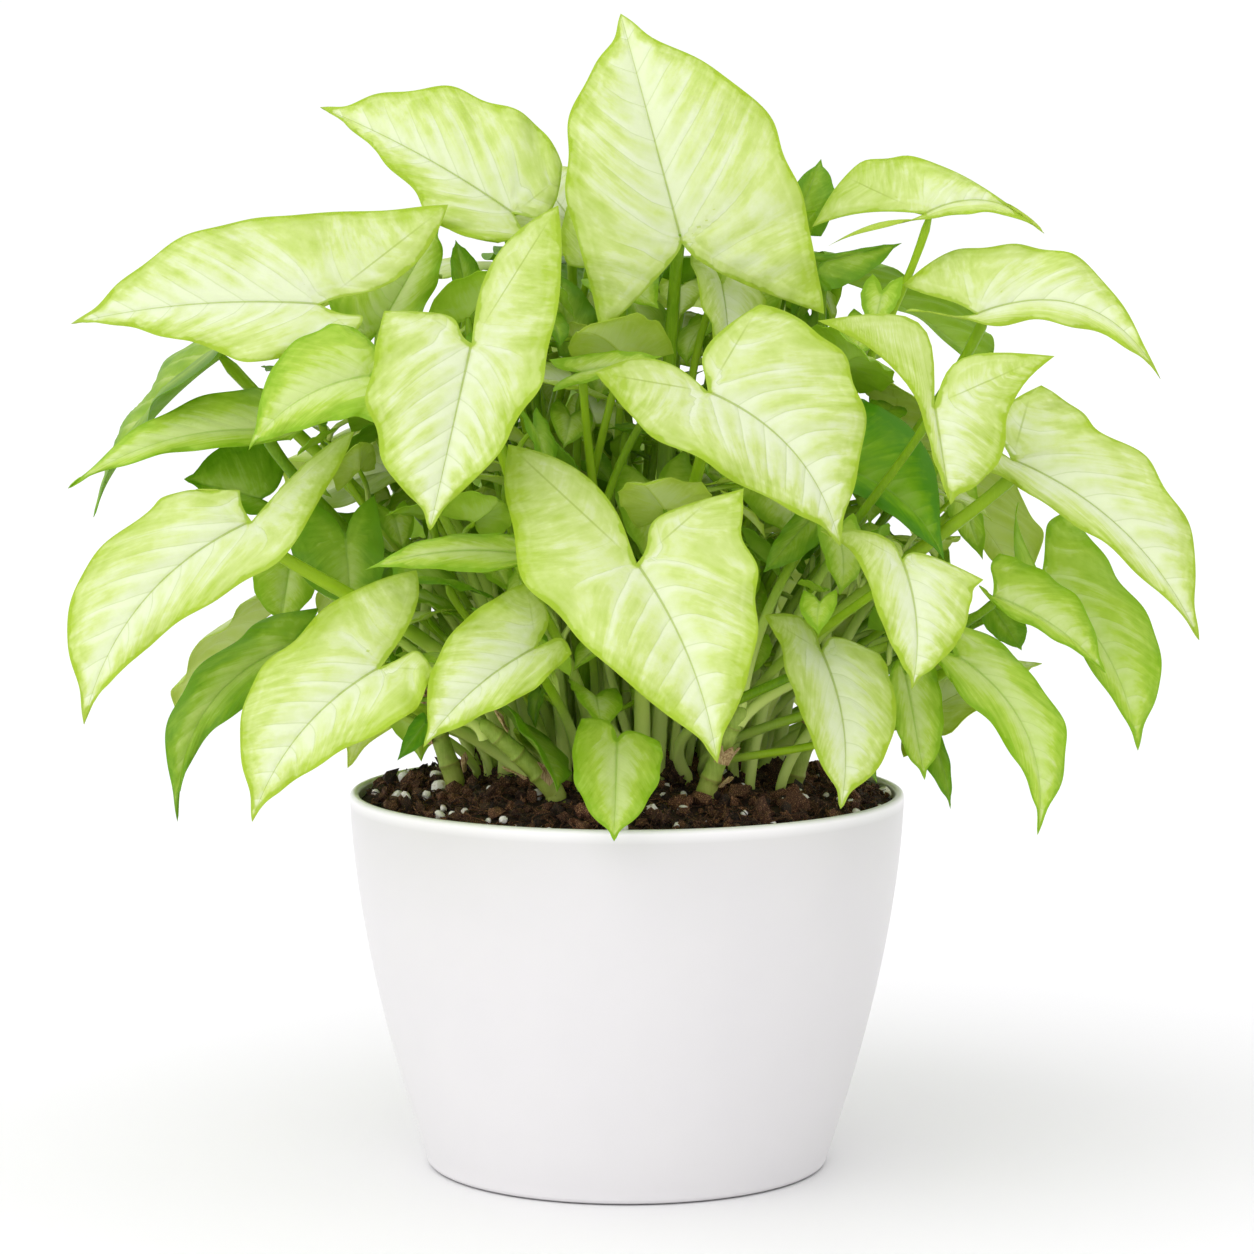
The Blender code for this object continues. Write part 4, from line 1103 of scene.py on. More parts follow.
def fine_borders(blade, edge, lobe, rows, swell):
    """The inner and outer border of one half: smooth, with an open notch at the joint and a drawn-out tip.
    swell tells how far the lobe's inner border bulges, in blade lengths."""
    pairs = [half_border(blade, edge, lobe, row) for row in rows]
    outer = smooth_border([pair[1] for pair in pairs])
    inner = []
    length = blade.tip.length
    gape = NOTCH_WIDTH * length * (0.2 + 0.8 * ((blade.seed * 0.34) % 1.0))
    axis = (blade.sides[0][1].normalized() + blade.sides[1][1].normalized()).normalized()
    aside = leftward(axis)
    if lobe.dot(aside) < 0.0:
        aside = -aside
    bulge = leftward(lobe).normalized()
    if bulge.dot(aside) > 0.0:
        bulge = -bulge
    for i, row in enumerate(rows):
        place = pairs[i][0]
        if row < SINUS_ROW:
            place = place + bulge * (swell * length * math.sin(math.pi * row / SINUS_ROW))
        wave = math.sin(math.tau * RIPPLES * row + blade.seed * 2.3) * math.sin(math.pi * row)
        outer[i] = outer[i] + (outer[i] - place).normalized() * (RIPPLE * length * wave)
        if row < SINUS_ROW:
            away = place.dot(aside)
            least = gape * math.sin(0.5 * math.pi * min(place.length / (NOTCH_DEPTH * length), 1.0))
            rounding = NOTCH_ROUND * length * min(place.length / (NOTCH_DEPTH * length), 1.0)
            wanted = 0.5 * (away + least + math.hypot(away - least, rounding))
            place = place + aside * (wanted - away)
        else:
            share = (row - SINUS_ROW) / (1.0 - SINUS_ROW)
            outer[i] = outer[i] + (place - outer[i]) * (DRIP_TIP * bell(share, 0.90, 0.085))
        inner.append(place)
    joint_row = rows.index(SINUS_ROW)
    inner[: joint_row + 1] = smooth_border(inner[: joint_row + 1])
    return inner, outer


def column_place(share):
    """Columns lie closer together along the midrib and the margin."""
    return share**1.5 * (1.0 - share) + (1.0 - (1.0 - share) ** 1.3) * share


def fine_half(blade, edge, lobe, rows, columns, swell):
    """A fine grid of points over one half, and at each the share from rib to margin, the vein's number, the
    spacing of the veins, the distance off the lobe's vein and the share of the way to the tip."""
    length = blade.tip.length
    forward = blade.tip.normalized()
    sideways = leftward(forward)
    straight = (blade.seed * 0.91) % 1.0
    lean = LEAST_LEAN + (MOST_LEAN - LEAST_LEAN) * straight
    arc = MOST_BEND - (MOST_BEND - LEAST_BEND) * straight
    wide = max(abs(edge.dot(sideways)), 1e-5)
    breadth = min(wide / (BROAD_HALF * length), 1.0)
    sign = 1.0 if edge.dot(sideways) > 0.0 else -1.0
    lobe_ahead = lobe.dot(forward) / length
    lobe_aside = max(IDEAL_WIDTH * abs(lobe.dot(sideways)) / wide, 0.05)
    if math.atan2(lobe_aside, lobe_ahead) < LEAST_LOBE_ANGLE:
        lobe_ahead = lobe_aside * math.cos(LEAST_LOBE_ANGLE) / math.sin(LEAST_LOBE_ANGLE)
    places = np.zeros((len(rows), columns + 1, 3))
    values = np.zeros((len(rows), columns + 1, 5))
    inner, outer = fine_borders(blade, edge, lobe, rows, swell)
    for i, row in enumerate(rows):
        wave = math.sin(math.tau * RIPPLES * 1.3 * row + blade.seed)
        for j in range(columns + 1):
            across = column_place(j / columns)
            flat = inner[i].lerp(outer[i], across)
            ahead = flat.dot(forward) / length
            share = min(max(ahead, 0.0), 1.0)
            bow = blade.sweep * 4.0 * share * (1.0 - share)
            aside = IDEAL_WIDTH * max(sign * (flat.dot(sideways) - bow), 0.0) / wide
            number, off = vein_number(ahead, aside, lobe_ahead, lobe_aside, lean, arc)
            number += blade.seed % 1.0 + 0.2 * sign * min(aside / 0.1, 1.0)
            height = blade_height(blade, inner[i], outer[i], flat, row, across)
            height += breadth * RIPPLE * length * across**3 * wave
            room = breadth * min(aside / 0.10, 1.0) * max(1.0 - across, 0.0) ** 0.5
            height += QUILT * length * math.sin(math.pi * number) ** 2 * room
            groove = bell(aside, 0.0, RIB_GROOVE_WIDTH) if ahead > 0.0 else 0.0
            height -= breadth * RIB_GROOVE * length * groove * max(1.0 - ahead, 0.0)
            height -= RIB_GROOVE * length * 0.5 * bell(off, 0.0, RIB_GROOVE_WIDTH) * room
            places[i, j] = blade.place(flat.x, flat.y) + blade.lift * height
            values[i, j] = (across, number, 0.0, off, ahead)
    values[:, :, 2] = per_millimetre(places, values[:, :, 1])
    values[:, :, 3] *= per_millimetre(places, values[:, :, 3])
    return places, values


def fine_blade(blade, own, cell, swells=(0.0, 0.0)):
    """A blade with its veins as relief, as points, faces and point values. own is its number from 0 to 1."""
    reach = (blade.place(blade.tip.x, blade.tip.y) - blade.place(0.0, 0.0)).length
    main_rows = max(int(reach / cell), 10)
    lobe_rows = max(int(LOBE_SHARE * reach / cell), 5)
    columns = max(int(HALF_SHARE * reach / cell), 5)
    rows = [SINUS_ROW * i / lobe_rows for i in range(lobe_rows)]
    rows += [SINUS_ROW + (1.0 - SINUS_ROW) * i / main_rows for i in range(main_rows + 1)]
    halves = []
    for (edge, lobe), swell in zip(blade.sides, swells):
        halves.append(fine_half(blade, edge, lobe, rows, columns, swell))
    spots, faces, grids = joined_halves(blade, len(rows), columns + 1, lobe_rows)
    points = np.array([halves[side][0][row, column] for side, row, column in spots])
    looks = np.array([halves[side][1][row, column] for side, row, column in spots])
    margins = []
    for grid in grids:
        margins.append([line[columns] for line in grid])
        margins.append([line[0] for line in grid[: lobe_rows + 1]])
    margin = np.min([distances(points, points[chain]) for chain in margins], axis=0)
    rib = distances(points, points[[line[0] for line in grids[0][lobe_rows:]]])
    along = looks[:, 4]
    thin = FINE_THICKNESS * (0.45 + 0.55 * np.minimum(margin / THIN_MARGIN, 1.0))
    ridge = RIDGE * np.exp(-((rib / RIDGE_WIDTH) ** 2)) * np.sqrt(np.clip(1.0 - along, 0.0, 1.0))
    below = points - point_normals(points, faces) * (thin + ridge)[:, None]
    under = np.repeat([0.0, 1.0], len(points))
    values = {
        "leaf_way": np.tile(looks[:, 0:3], (2, 1)),
        "leaf_gap": np.tile(np.stack([margin, rib, looks[:, 3]], axis=1), (2, 1)),
        "leaf_own": np.stack([np.full(len(under), own), under, np.tile(along, 2)], axis=1),
    }
    return np.concatenate([points, below]), closed_sheet(faces, len(points)), values


# Fine stalks

FINE_STALK_STEPS = 26
FINE_STALK_END = -0.0008
STALK_SIDES = 12
FINE_FOOT_RADIUS = 0.00195
FINE_NECK_RADIUS = 0.00135
STOUT_LENGTH = 0.058
STOUT_LIMITS = (0.80, 1.22)
NECK_SWELL = 0.30
NECK_SPOT = (0.97, 0.05)
SHEATH_WIDTH = 0.22
SHEATH_SPOT = (0.16, 0.16)


def stalk_values(rings, sides, own):
    """The place along a swept stalk and its number from 0 to 1, for each point."""
    along = np.append(np.repeat(np.arange(rings) / (rings - 1), sides), [0.0, 1.0])
    return {"stalk_way": np.stack([along, np.full(len(along), own), np.zeros(len(along))], axis=1)}


def fine_stalk(path, thick, thin, own, sides=STALK_SIDES):
    """A stalk: a little wider and flatter where it sheathes its neighbours, and swollen below the blade."""
    count = len(path)
    radii = []
    flats = []
    for i in range(count):
        share = i / (count - 1)
        slim = share**3
        swell = 1.0 + NECK_SWELL * bell(share, *NECK_SPOT)
        end = 1.0 - 0.45 * max(share - 0.96, 0.0) / 0.04
        radii.append((thick + (thin - thick) * slim) * swell * end)
        sheath = SHEATH_WIDTH * bell(share, *SHEATH_SPOT)
        flats.append((1.0 + sheath, 1.0 - 0.3 * sheath))
    points, faces = swept(path, radii, sides, flats)
    return points, faces, stalk_values(count, sides, own)


def stalk_line(slot, blade, sway):
    ground = soil_height(slot.x, slot.y)
    start = Vector((slot.x, slot.y, ground + STALK_RISE))
    foot = Vector((slot.x, slot.y, ground - HOLE_DEPTH * 0.5))
    return [foot] + stalk_path(start, blade, sway, FINE_STALK_STEPS, FINE_STALK_END)


# Canes

CANE_RINGS = 64
CANE_SIDES = 20
CANE_SLIM = 0.76
RING_SPACING = 0.0085
RING_WIDTH = 0.09
RING_SWELL = 0.12
CANE_DOME = ((0.0012, 0.80), (0.0020, 0.40))

# Scraps of old sheaths: three round each cane, torn off at uneven heights
SCRAPS = 3
SCRAP_STEPS = 7
SCRAP_LINES = 4
SCRAP_THICKNESS = 0.00035
SCRAP_GAP = 0.0003
SCRAP_FLARE = 0.0016
SCRAP_TURN = (0.7, 1.4)
SCRAP_TEAR = (0.45, 1.0)
SCRAP_PLACE = (0.02, 0.90)
SCRAP_HEIGHT = (0.004, 0.010)


def fine_cane(cane, own):
    """A cane: a smooth bent stem with a raised ring at each old leaf joint."""
    (low, start, middle, top), radii = cane
    path = []
    sizes = []
    marks = []
    for i in range(CANE_RINGS + 1):
        share = i / CANE_RINGS
        place = bezier2(start, middle, top, share)
        travelled = share * (top - start).length
        phase = travelled / RING_SPACING + own
        ring = bell(phase % 1.0, 0.5, RING_WIDTH)
        sizes.append((radii[1] + (radii[3] - radii[1]) * share) * (1.0 + RING_SWELL * ring) * CANE_SLIM)
        path.append(place)
        marks.append((share, ring, 0.0))
    path.insert(0, low)
    sizes.insert(0, sizes[0])
    marks.insert(0, (0.0, 0.0, 0.0))
    dome = (path[-1] - path[-2]).normalized()
    for step, share in CANE_DOME:
        path.append(top + dome * step)
        sizes.append(radii[3] * share * CANE_SLIM)
        marks.append((1.0, 0.0, 0.0))
    points, faces = swept(path, sizes, CANE_SIDES)
    values = np.repeat(np.array(marks), CANE_SIDES, axis=0)
    values = np.concatenate([values, [marks[0], marks[-1]]])
    return points, faces, {"cane_way": values}


def sheath_scrap(foot, up, radius, tall, turn, draw):
    """A torn scrap of dry sheath that stands round a part of a stem."""
    side = up.orthogonal().normalized()
    other = up.cross(side)
    wide = draw.uniform(*SCRAP_TURN)
    tear = [draw.uniform(*SCRAP_TEAR) for _ in range(SCRAP_STEPS + 1)]
    points = []
    for outer in (SCRAP_THICKNESS, 0.0):
        for line in range(SCRAP_LINES + 1):
            rise = line / SCRAP_LINES
            for step in range(SCRAP_STEPS + 1):
                angle = turn + wide * (step / SCRAP_STEPS - 0.5)
                away = radius + SCRAP_GAP + outer + SCRAP_FLARE * rise**2
                way = side * math.cos(angle) + other * math.sin(angle)
                points.append(foot + way * away + up * (tall * rise * tear[step]))
    row = SCRAP_STEPS + 1
    first = row * (SCRAP_LINES + 1)
    faces = []
    for line in range(SCRAP_LINES):
        for step in range(SCRAP_STEPS):
            a = line * row + step
            faces.append([a, a + 1, a + 1 + row, a + row])
    return points, closed_sheet(faces, first)


# Pot and soil

POT_TURNS = 168
INSIDE_STEPS = 18
LIP_STEPS = 12
OUTSIDE_STEPS = 40
FILLET_STEPS = 8
RING_FLAT = 0.0030
RING_SLOPE = 0.0042
RING_RISE = 0.0008
# Painted highlight on the lip's top: how far below the rim it starts and how softly it fades in
PAINTED_LIP_LIGHT_BAND = 0.0034
PAINTED_LIP_LIGHT_FADE = 0.0016
# Painted contact shadow at the foot: how high above the floor it reaches and how softly it fades
PAINTED_FOOT_SHADOW_BAND = 0.0007
PAINTED_FOOT_SHADOW_FADE = 0.0004
SOIL_TURNS = 160
SOIL_RINGS = 56
SOIL_SIDES = (0.106, 0.075, 0.036)
CRUMB_SIZE = 0.009
CRUMB_HEIGHT = 0.0022
FINE_CRUMB_HEIGHT = 0.0008

# What lies on the soil. Sizes are in metres, shape is how far each may be stretched, level how finely it is
# cut, and sink how deep it lies.
Lumps = namedtuple("Lumps", "name count sizes shape rough level sink margin")
CRUMBS = Lumps("soil_crumbs", 2300, (0.0008, 0.0023), (0.6, 1.5), 1.0, 1, 0.30, 0.0)
BARK = Lumps("bark_pieces", 150, (0.0016, 0.0031), (0.30, 1.9), 0.8, 3, 0.40, 0.003)
PERLITE = Lumps("perlite_grains", 240, (0.0007, 0.0025), (0.8, 1.2), 0.22, 2, 0.10, 0.0)
COIR_THREADS = 1900
LITTER_MARGIN = 0.0022
LITTER_SEED = 8
THREAD_LENGTH = (0.005, 0.017)
THREAD_CURL = 260.0
THREAD_HOP = 0.0022
THREAD_RADIUS = (0.00012, 0.00034)
THREAD_LIFT = 0.0004
THREAD_STEPS = 7
AT_FEET = 0.35
FEET_REACH = (0.0022, 0.0046)


def turned(profile, turns):
    """Points and faces of a closed body turned from a profile between two points of the upright axis."""
    inner = profile[1:-1]
    points = [(0.0, 0.0, profile[0][1])]
    for radius, height in inner:
        for turn in range(turns):
            angle = math.tau * turn / turns
            points.append((radius * math.cos(angle), radius * math.sin(angle), height))
    points.append((0.0, 0.0, profile[-1][1]))
    faces = []
    last = len(points) - 1
    for turn in range(turns):
        following = (turn + 1) % turns
        faces.append([0, 1 + turn, 1 + following])
        for ring in range(len(inner) - 1):
            a = 1 + ring * turns
            faces.append([a + turn, a + turns + turn, a + turns + following, a + following])
        a = 1 + (len(inner) - 1) * turns
        faces.append([a + turn, last, a + following])
    return points, faces


def pot_profile():
    """The pot's outline from the middle of its floor over the lip to the middle of its underside."""
    lip = WALL / 2
    profile = [(0.0, POT_FLOOR)]
    for step in range(INSIDE_STEPS + 1):
        height = POT_FLOOR + (POT_HEIGHT - lip - POT_FLOOR) * step / INSIDE_STEPS
        profile.append((pot_radius(height) - WALL, height))
    for step in range(1, LIP_STEPS):
        angle = math.pi * (1.0 - step / LIP_STEPS)
        profile.append((RIM_RADIUS - lip + lip * math.cos(angle), POT_HEIGHT - lip + lip * math.sin(angle)))
    for step in range(OUTSIDE_STEPS + 1):
        height = POT_HEIGHT - lip - (POT_HEIGHT - lip - FOOT_FILLET) * step / OUTSIDE_STEPS
        profile.append((pot_radius(height), height))
    for step in range(1, FILLET_STEPS + 1):
        angle = math.radians(90.0 * step / FILLET_STEPS)
        reach = pot_radius(FOOT_FILLET) - FOOT_FILLET + FOOT_FILLET * math.cos(angle)
        profile.append((reach, FOOT_FILLET * (1.0 - math.sin(angle))))
    ring = profile[-1][0]
    profile += [(ring - RING_FLAT, 0.0), (ring - RING_SLOPE, RING_RISE), (0.001, RING_RISE), (0.0, RING_RISE)]
    return profile


def make_pot(finish):
    """The pot: inner wall, rounded lip, outer wall, rounded foot with a shallow standing ring."""
    points, faces = turned(pot_profile(), POT_TURNS)
    heights = np.array([point[2] for point in points])
    reaches = np.array([math.hypot(point[0], point[1]) for point in points])
    outside = np.array([pot_radius(point[2]) for point in points]) - WALL * 0.7
    # Painted light: a painted highlight over the lip's top band and painted light over the whole inner wall
    painted_lip_light = np.clip((heights - POT_HEIGHT + PAINTED_LIP_LIGHT_BAND) / PAINTED_LIP_LIGHT_FADE, 0.0, 1.0)
    painted_lip_light = np.where(reaches < outside, 1.0, painted_lip_light)
    # Painted contact shadow: a dark band along the lowest part of the foot
    painted_foot_shadow = np.clip((PAINTED_FOOT_SHADOW_BAND - heights) / PAINTED_FOOT_SHADOW_FADE, 0.0, 1.0)
    pot = Piece()
    pot_way = np.stack([painted_lip_light, painted_foot_shadow, np.zeros(len(points))], axis=1)
    pot.add(points, [face[::-1] for face in faces], pot_way=pot_way)
    return pot.build("white_pot", [finish], "pot", ["pot"], 35.0)


def crumbly(across, back):
    """Height of the crumbly soil above its smooth dome."""
    spot = Vector((across, back, 0.0)) / CRUMB_SIZE
    height = CRUMB_HEIGHT * noise.fractal(spot, 0.9, 2.1, 4)
    return height + FINE_CRUMB_HEIGHT * noise.noise(spot * 5.0)


def make_soil(finish):
    edge = pot_radius(SOIL_EDGE_HEIGHT) - WALL - SOIL_GAP
    profile = [(0.0, 0.0)]
    profile += [(edge * (step / SOIL_RINGS) ** 0.8, 0.0) for step in range(1, SOIL_RINGS + 1)]
    top = len(profile)
    for height in SOIL_SIDES + (POT_FLOOR + SOIL_GAP,):
        profile.append((pot_radius(height) - WALL - 2.0 * SOIL_GAP, height))
    profile.append((0.0, POT_FLOOR + SOIL_GAP))
    points, faces = turned(profile, SOIL_TURNS)
    raised = []
    for i, (x, y, z) in enumerate(points):
        if i < 1 + (top - 1) * SOIL_TURNS:
            away = math.hypot(x, y) / edge
            z = soil_height(x, y) + crumbly(x, y) * min((1.0 - away) * 12.0 + 0.25, 1.0)
        raised.append((x, y, z))
    soil = Piece()
    soil.add(raised, faces, soil_own=(0.35, 0.0, 0.0))
    return soil.build("potting_soil", [finish], "soil", ["soil"], 180.0)


def ground(across, back):
    return soil_height(across, back) + crumbly(across, back)


def round_lump(level):
    """Points and faces of a ball cut from an icosahedron."""
    shape = bmesh.new()
    bmesh.ops.create_icosphere(shape, subdivisions=level, radius=1.0)
    points = np.array([vertex.co for vertex in shape.verts])
    faces = [[vertex.index for vertex in face.verts] for face in shape.faces]
    shape.free()
    return points, faces


def turn_matrix(draw):
    spin = Matrix.Rotation(draw.uniform(0.0, math.tau), 3, "X")
    return np.array(Matrix.Rotation(draw.uniform(0.0, math.tau), 3, "Z") @ spin)


def soil_spot(draw, limit, feet=()):
    """A place on the soil, even over its area or now and then close round the foot of a stalk."""
    if feet and draw.random() < AT_FEET:
        foot = draw.choice(feet)
        away = draw.uniform(*FEET_REACH)
        angle = draw.uniform(0.0, math.tau)
        return foot.x + away * math.cos(angle), foot.y + away * math.sin(angle)
    away = limit * math.sqrt(draw.random())
    angle = draw.uniform(0.0, math.tau)
    return away * math.cos(angle), away * math.sin(angle)


def lump_radius(way, offset, rough):
    return 1.0 + rough * (noise.noise(way * 1.4 + offset) + 0.7 * noise.noise(way * 3.6 + offset))


def scatter_lumps(kind, finish, draw, limit, feet=()):
    """Lumps of one kind lying on the soil: chunks of bark and coir, or grains."""
    ball, faces = round_lump(kind.level)
    heap = Piece()
    for _ in range(kind.count):
        across, back = soil_spot(draw, limit - kind.margin, feet)
        size = draw.uniform(*kind.sizes) * (0.5 + 0.5 * draw.random())
        stretch = np.array([draw.uniform(*kind.shape) for _ in range(3)])
        offset = Vector((draw.random(), draw.random(), draw.random())) * 40.0
        swell = np.array([lump_radius(Vector(point), offset, kind.rough) for point in ball])
        body = (ball * swell[:, None] * stretch * size) @ turn_matrix(draw).T
        low = -body[:, 2].min()
        spot = np.array([across, back, ground(across, back) + low * (1.0 - kind.sink) - size * 0.15])
        heap.add(body + spot, faces, soil_own=(draw.random(), 0.0, 0.0))
    return heap.build(kind.name, [finish], "soil", (), 32.0)


def scatter_fibres(name, finish, count, draw, limit):
    """Coir threads lying over the soil."""
    heap = Piece()
    for _ in range(count):
        across, back = soil_spot(draw, limit)
        length = draw.uniform(*THREAD_LENGTH)
        first_way = draw.uniform(0.0, math.tau)
        curl = draw.uniform(-THREAD_CURL, THREAD_CURL)
        hop = draw.uniform(0.0, THREAD_HOP)
        path = []
        for step in range(THREAD_STEPS + 1):
            share = step / THREAD_STEPS
            angle = first_way + curl * length * (share - 0.5)
            across += math.cos(angle) * length / THREAD_STEPS
            back += math.sin(angle) * length / THREAD_STEPS
            if math.hypot(across, back) > limit:
                break
            height = ground(across, back) + THREAD_LIFT + hop * math.sin(math.pi * share)
            path.append(Vector((across, back, height)))
        if len(path) < 4:
            continue
        thick = draw.uniform(*THREAD_RADIUS)
        last = len(path) - 1
        radii = [thick * (1.0 - 0.6 * abs(2.0 * i / last - 1.0) ** 2) for i in range(last + 1)]
        points, faces = swept(path, radii, 4)
        heap.add(points, faces, soil_own=(draw.random(), 0.0, 0.0))
    return heap.build(name, [finish], "soil", (), 60.0)


def make_litter(feet):
    """Crumbs, which lie closer round the stalks' feet, and bark, coir threads and perlite."""
    # The light warm colour is partly fibre colour and partly painted highlights on the fibres.
    bark = soil_finish("bark and coir", colour(28, 15, 9), colour(104, 62, 38), colour(236, 178, 128))
    draw = random.Random(LITTER_SEED)
    limit = pot_radius(SOIL_EDGE_HEIGHT) - WALL - LITTER_MARGIN
    scatter_lumps(CRUMBS, bark, draw, limit, feet)
    scatter_lumps(BARK, bark, draw, limit)
    scatter_fibres("coir_threads", bark, COIR_THREADS, draw, limit)
    scatter_lumps(PERLITE, perlite_finish(), draw, limit)


# Scene

FLOOR_REACH = 30.0
ROOM_LIGHT = 1.03
KEY_PLACE = Vector((-1.20, -1.20, 1.60))
KEY_AIM = straight_up(0.16)
KEY_WIDTH = math.radians(84.0)
KEY_STRENGTH = 1.20


def make_floor():
    corners = [(x, y, 0.0) for x, y in ((-1, -1), (1, -1), (1, 1), (-1, 1))]
    mesh = bpy.data.meshes.new("floor")
    mesh.from_pydata([Vector(corner) * FLOOR_REACH for corner in corners], [], [[0, 1, 2, 3]])
    mesh.materials.append(floor_finish())
    floor = put_in("floor", mesh)


def make_key_light():
    """A soft far light that looks at the middle of the plant."""
    data = bpy.data.lights.new("key light", "SUN")
    data.angle = KEY_WIDTH
    data.energy = KEY_STRENGTH
    light = put_in("key light", data)
    light.location = KEY_PLACE
    light.rotation_euler = (KEY_AIM - KEY_PLACE).to_track_quat("-Z", "Y").to_euler()


def make_stage():
    scene = bpy.context.scene
    make_floor()
    world = bpy.data.worlds.new("soft white room")
    world.use_nodes = True
    background = world.node_tree.nodes["Background"]
    background.inputs["Color"].default_value = (1.0, 1.0, 1.0, 1.0)
    background.inputs["Strength"].default_value = ROOM_LIGHT
    scene.world = world
    make_key_light()
    scene.cycles.max_bounces = 8
    scene.cycles.diffuse_bounces = 3
    scene.cycles.transmission_bounces = 6
    scene.view_settings.view_transform = "Standard"
    data = bpy.data.cameras.new("camera")
    data.sensor_width = SENSOR_WIDTH
    data.lens = FOCAL_PIXELS * SENSOR_WIDTH / PICTURE_PIXELS
    data.clip_start = 0.05
    data.clip_end = 80.0
    camera = put_in("camera", data)
    camera.location = EYE
    camera.rotation_euler = AHEAD.to_track_quat("-Z", "Y").to_euler()
    scene.camera = camera


# The plant

# How wide the cells of the fine blades are
LEAF_CELL = 0.0015
BACK_LEAF_CELL = 0.0019
SMALL_LEAF_CELL = 0.0016
INNER_LEAF_CELL = 0.0022

# Lobes that bulge more than their solid's, in blade lengths
FULL_LOBES = {"leaf_bow_right": (0.50, 0.26)}

# Small leaves without a node: how steep, how tilted and how long they may be, how many places are tried for
# them at most and how many are wanted, and how thick their stalks are
Habit = namedtuple("Habit", "pitches roll longest tries wanted stalk")
INNER_HABIT = Habit((-75.0, 40.0), 40.0, 0.052, 1200, 100, 0.0013)
SIDE_HABIT = Habit((-75.0, 40.0), 40.0, 0.036, 4200, 190, 0.0008)
SCREEN_HABIT = Habit((-80.0, -35.0), 25.0, 0.040, 2600, 46, 0.0008)
INNER_TONES = ("pale", "lime", "lime", "green")
INNER_SIZES = (1.0, 0.72, 0.5)
INNER_SEED = 31
SCREEN_SEED = 7

# The clump: its half widths, the heights between which its small leaves stand, and for those on older
# stalks where along the stalk they grow, how far out and up, and how far they are turned
CLUMP_ACROSS = 0.104
CLUMP_BACK = 0.070
CLUMP_LOW = 0.138
CLUMP_HIGH = 0.284
CLUMP_SHOULDER = 0.230
CLUMP_NARROWING = 7.0
CLUMP_MIDDLE = 0.004
CLUMP_LEAN = 0.25
INNER_SWING = 1.3
SIDE_FRONT = -0.080
SIDE_LOW = 0.148
SIDE_HIGH = 0.262
SIDE_ROOT = 0.22
SIDE_ROOT_FRONT = 0.66
SIDE_ROOT_BACK = 0.90
SIDE_OUT = (0.007, 0.024)
SIDE_UP = (0.004, 0.020)
SIDE_SWING = 0.9
SCREEN_BACK = (-0.025, 0.060)
SCREEN_ACROSS = 0.085
SCREEN_HEIGHTS = (0.200, 0.272)
SCREEN_ROOT = (0.40, 0.90)
SCREEN_OUT = (0.004, 0.014)
SCREEN_UP = (0.002, 0.012)
SCREEN_SWING = 0.7
SIDE_STALK_STEPS = 8

# Rolled-up young leaves
SPEARS = 40
SPEAR_STEPS = 22
SPEAR_SIDES = 9
SPEAR_LENGTH = (0.045, 0.125)
SPEAR_SWAY = 0.2
SPEAR_LEAN = 4.0
SPEAR_RADIUS = 0.0011
SPEAR_FOOT = 0.0004
SPEAR_BELLY = 0.0010
SPEAR_BELLY_SPOT = (0.72, 0.14)
SPEAR_POINT = 0.82
SPEAR_POINT_TAPER = 0.0064

LOOK_SEED = 5


def add_blade(piece, finish, *rest):
    points, faces, values = fine_blade(*rest)
    piece.add(points, faces, finish, **values)


def add_stalk(piece, finish, *rest):
    points, faces, values = fine_stalk(*rest)
    piece.add(points, faces, finish, **values)


def make_leaf(name, tone, placed, finishes, cell, draw):
    """One large leaf, and the line of its stalk."""
    blade, slot, sway = placed
    leaf = Piece()
    add_blade(leaf, 0, blade, draw.random(), cell, FULL_LOBES.get(name, (0.0, 0.0)))
    line = stalk_line(slot, blade, sway)
    stout = min(max(blade.tip.length / STOUT_LENGTH, STOUT_LIMITS[0]), STOUT_LIMITS[1])
    thick = FINE_FOOT_RADIUS * stout
    add_stalk(leaf, 1, line, thick, FINE_NECK_RADIUS * stout, draw.random())
    leaf.build(name + "_fine", [finishes[tone], finishes["stalk"]], "leaf_" + tone, [name])
    return line


def make_cane(name, cane, blades, small_leaves, finishes, draw):
    own = draw.random()
    body = Piece()
    points, faces, values = fine_cane(cane, own)
    body.add(points, faces, 0, **values)
    tones = sorted({leaf.tone for leaf in small_leaves})
    top = cane[0][3]
    for leaf, blade in zip(small_leaves, blades):
        add_blade(body, 2 + tones.index(leaf.tone), blade, draw.random(), SMALL_LEAF_CELL)
        start = top - straight_up(SMALL_STALK_DROP)
        path = stalk_path(start, blade, 0.0, FINE_STALK_STEPS, FINE_STALK_END)
        add_stalk(body, 1, path, SMALL_STALK_RADIUS, NECK_RADIUS, draw.random(), 10)
    used = [finishes["cane"], finishes["stalk"]] + [finishes[tone] for tone in tones]
    body.build(name + "_fine", used, "cane", [name])


def make_sheaths(canes, finish, draw):
    """Dry scraps round the canes."""
    scraps = Piece()
    for (_, start, middle, top), radii in canes:
        for _ in range(SCRAPS):
            share = draw.uniform(*SCRAP_PLACE)
            place = bezier2(start, middle, top, share)
            up = (top - start).normalized()
            radius = radii[1] + (radii[3] - radii[1]) * share
            tall = draw.uniform(*SCRAP_HEIGHT)
            points, faces = sheath_scrap(place, up, radius, tall, draw.uniform(0.0, math.tau), draw)
            scraps.add(points, faces)
    scraps.build("dry_sheaths", [finish], "cane")


